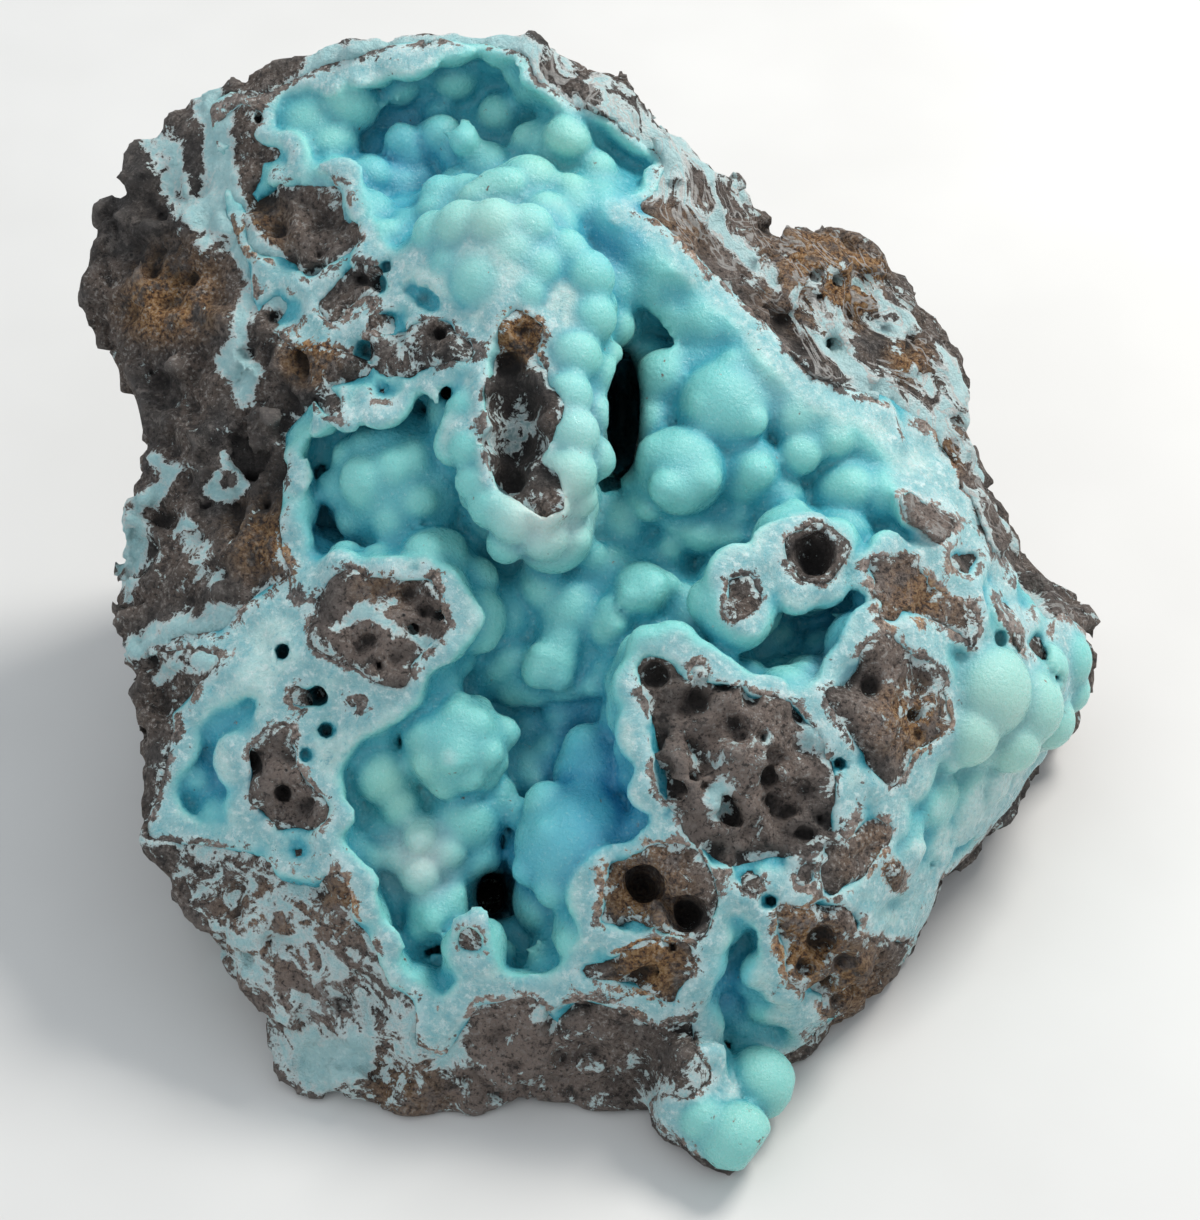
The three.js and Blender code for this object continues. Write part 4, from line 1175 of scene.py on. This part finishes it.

# blue-green crystal, painted darker and bluer in the creases and near black in the dark gaps and pits as
# painted shade; pale and fibrous where it is broken across
tree, given, result = group(
    "crystalColour",
    {"Place": (0.0, 0.0, 0.0), "Root": (0.0, 0.0, 0.0), "Gap": 2.0, "Cut": 0.0, "CreaseShade": 0.0, "Tint": 0.0,
     "Milky": 0.0, "HoleShade": 0.0},
    {"Colour": 4, "Height": 1, "Facet": 1})
grains = useGroup(grain, {"Place": given["Place"], "Size": 0.42})
fibres = noise(given["Root"], 2.2, 4.0, 0.7)
clouds = noise(given["Place"], 0.35, 3.0, 0.5)
sugar = noise(given["Place"], 1.1, 8.0, 0.78)
# painted shade: the crystal turns darker and bluer in the creases
deep = ramp(plus(given["CreaseShade"], times(clouds, 0.3)), -0.4, 0.75)
greener = blend(deep, (0.32, 0.6, 0.49, 1), (0.11, 0.4, 0.37, 1))
bluer = blend(deep, (0.08, 0.44, 0.56, 1), (0.02, 0.22, 0.4, 1))
banded = plus(given["Gap"], times(clouds, 2.0))
cutColour = coated(
    blend(ramp(banded, 1.0, 2.6), (0.52, 0.67, 0.67, 1), (0.26, 0.5, 0.52, 1)),
    (ramp(banded, 2.8, 4.2), (0.44, 0.66, 0.64)),
    (ramp(sugar, 0.5, 0.62, 0.0, 0.75), (0.66, 0.78, 0.76)),
    (ramp(sugar, 0.46, 0.36, 0.0, 0.7), (0.12, 0.4, 0.46)),
    (ramp(fibres, 0.5, 0.72, 0.0, 0.6), (0.55, 0.68, 0.66)))
colour = coated(
    blend(deep, (0.2, 0.56, 0.53, 1), (0.05, 0.34, 0.42, 1)),
    (times(given["Tint"], 0.7, True), greener),
    (times(given["Tint"], -0.8, True), bluer),
    (times(ramp(grains["Grain"], 0.56, 0.74), 0.35), (0.5, 0.72, 0.7)),
    (times(given["Milky"], 0.62, True), (0.6, 0.69, 0.64)),
    (given["Cut"], cutColour),
    # painted shade: near black in the dark gaps and pits
    (given["HoleShade"], (0.012, 0.03, 0.036)))
tree.links.new(colour, result["Colour"])
rough = times(plus(fibres, times(sugar, 2.0)), given["Cut"])
tree.links.new(plus(grains["Grain"], rough), result["Height"])
tree.links.new(grains["Facet"], result["Facet"])
crystal = tree


# both finishes take both colours: a film of crystal lies on the rock, and flecks of rock on the crust
def twoStones(fixed):
    given = {"Place": placeMm(), "Root": attribute("root", "Vector"), **fixed}
    tones = []
    for grouped in (limonite, crystal):
        names = [socket.name for socket in grouped.interface.items_tree if socket.in_out == "INPUT"]
        for name in names:
            if name not in given:
                given[name] = attribute(name.lower())
        tones.append(useGroup(grouped, {name: given[name] for name in names}))
    return given["Place"], attribute("layer", "Vector"), *tones


def finishWith(shader, colour, roughness, height, strength, distance):
    tree.links.new(colour, shader.inputs["Base Color"])
    tree.links.new(roughness, shader.inputs["Roughness"])
    bump = put("Bump", {"Height": height, "Strength": strength, "Distance": distance})
    tree.links.new(bump.outputs["Normal"], shader.inputs["Normal"])


finish, tree, shader = material("limonite")
place, layer, rockTone, crystalTone = twoStones({"Gap": 2.3, "Cut": 1.0})
veil = useGroup(
    lace, {"Place": place, "Layer": layer, "Cover": attribute("film"), "Along": attribute("along")})
filmColour = blend(0.45, crystalTone["Colour"], (0.52, 0.86, 0.88, 1))
filmColour = blend(veil["Thickness"], (0.7, 0.78, 0.76, 1), filmColour)
filmColour = blend(times(attribute("along"), 0.3), filmColour, (0.66, 0.76, 0.75, 1))
colour = coated(rockTone["Colour"], (veil["Mask"], filmColour),
                (times(veil["Line"], 0.85), (0.6, 0.58, 0.55)))
height = times(rockTone["Height"], ramp(veil["Mask"], 0.0, 1.0, 1.0, 0.45))
height = plus(height, times(veil["Mask"], 0.7))
finishWith(shader, colour, ramp(veil["Mask"], 0.0, 1.0, 0.85, 0.5), height, 1.0, 0.003)
matrixRock.data.materials.append(finish)

finish, tree, shader = material("hemimorphite")
place, layer, rockTone, crystalTone = twoStones({})
fleck = times(attribute("cut"), ramp(attribute("gap"), 1.8, 0.0, 0.0, 0.75))
veil = useGroup(lace, {"Place": place, "Layer": layer, "Cover": fleck, "Along": 0.2})
colour = blend(veil["Mask"], crystalTone["Colour"], rockTone["Colour"])
roughness = ramp(crystalTone["Facet"], 0.0, 1.0, 0.2, 0.5)
finishWith(shader, colour, roughness, crystalTone["Height"], 0.6, 0.0003)
shader.inputs["Subsurface Weight"].default_value = 0.4
shader.inputs["Subsurface Radius"].default_value = (0.5, 1.0, 1.1)
shader.inputs["Subsurface Scale"].default_value = 0.0017
hemimorphiteCrust.data.materials.append(finish)

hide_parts("matrix")
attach(matrixRock, "root")
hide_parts("hemimorphite_crust")
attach(hemimorphiteCrust, "root")
say("finishes")

# floor, light and camera
studio = {
    "floor": 1.6,     # metres across
    "floorColours": ((0.62, 0.61, 0.59, 1), (0.66, 0.65, 0.63, 1)),
    "sky": (0.88, 0.94, 1.0, 1),
    "skyStrength": 0.78,
    # place, power, size and colour of each soft light
    "lights": [
        ((0.24, 0.2, 0.42), 2.2, 0.16, (1.0, 0.97, 0.93)),
        ((-0.35, -0.3, 0.35), 0.35, 0.4, (0.9, 0.95, 1.0)),
    ],
    "lens": 94.4,
}
bpy.ops.mesh.primitive_grid_add(x_subdivisions=8, y_subdivisions=8, size=studio["floor"])
floor = bpy.context.object
floor.name = "studioFloor"
finish, tree, shader = material("paleFloor")
clouds = ramp(noise(placeMm(), 0.02, 3.0), 0.3, 0.7)
shade = blend(clouds, *studio["floorColours"])
tree.links.new(shade, shader.inputs["Base Color"])
shader.inputs["Roughness"].default_value = 0.7
floor.data.materials.append(finish)

world = bpy.data.worlds.new("studio")
world.use_nodes = True
world.node_tree.nodes["Background"].inputs["Color"].default_value = studio["sky"]
world.node_tree.nodes["Background"].inputs["Strength"].default_value = studio["skyStrength"]
bpy.context.scene.world = world
target = Vector(sight["middle"]) * 0.001
for k, (spot, power, size, tone) in enumerate(studio["lights"]):
    light = bpy.data.lights.new(f"softLight{k}", "AREA")
    light.energy, light.size, light.color = power, size, tone
    holder = bpy.data.objects.new(light.name, light)
    bpy.context.scene.collection.objects.link(holder)
    holder.location = spot
    holder.rotation_euler = (target - holder.location).to_track_quat("-Z", "Y").to_euler()

camera = bpy.data.cameras.new("camera")
camera.lens = studio["lens"]
camera.sensor_width = 36
eye = bpy.data.objects.new("camera", camera)
bpy.context.scene.collection.objects.link(eye)
eye.location = target + Vector((0, -cosine, sine)) * sight["reach"] * 0.001
eye.rotation_euler = (target - eye.location).to_track_quat("-Z", "Y").to_euler()
bpy.context.scene.camera = eye
bpy.context.scene.view_settings.view_transform = "Standard"
say("studio")
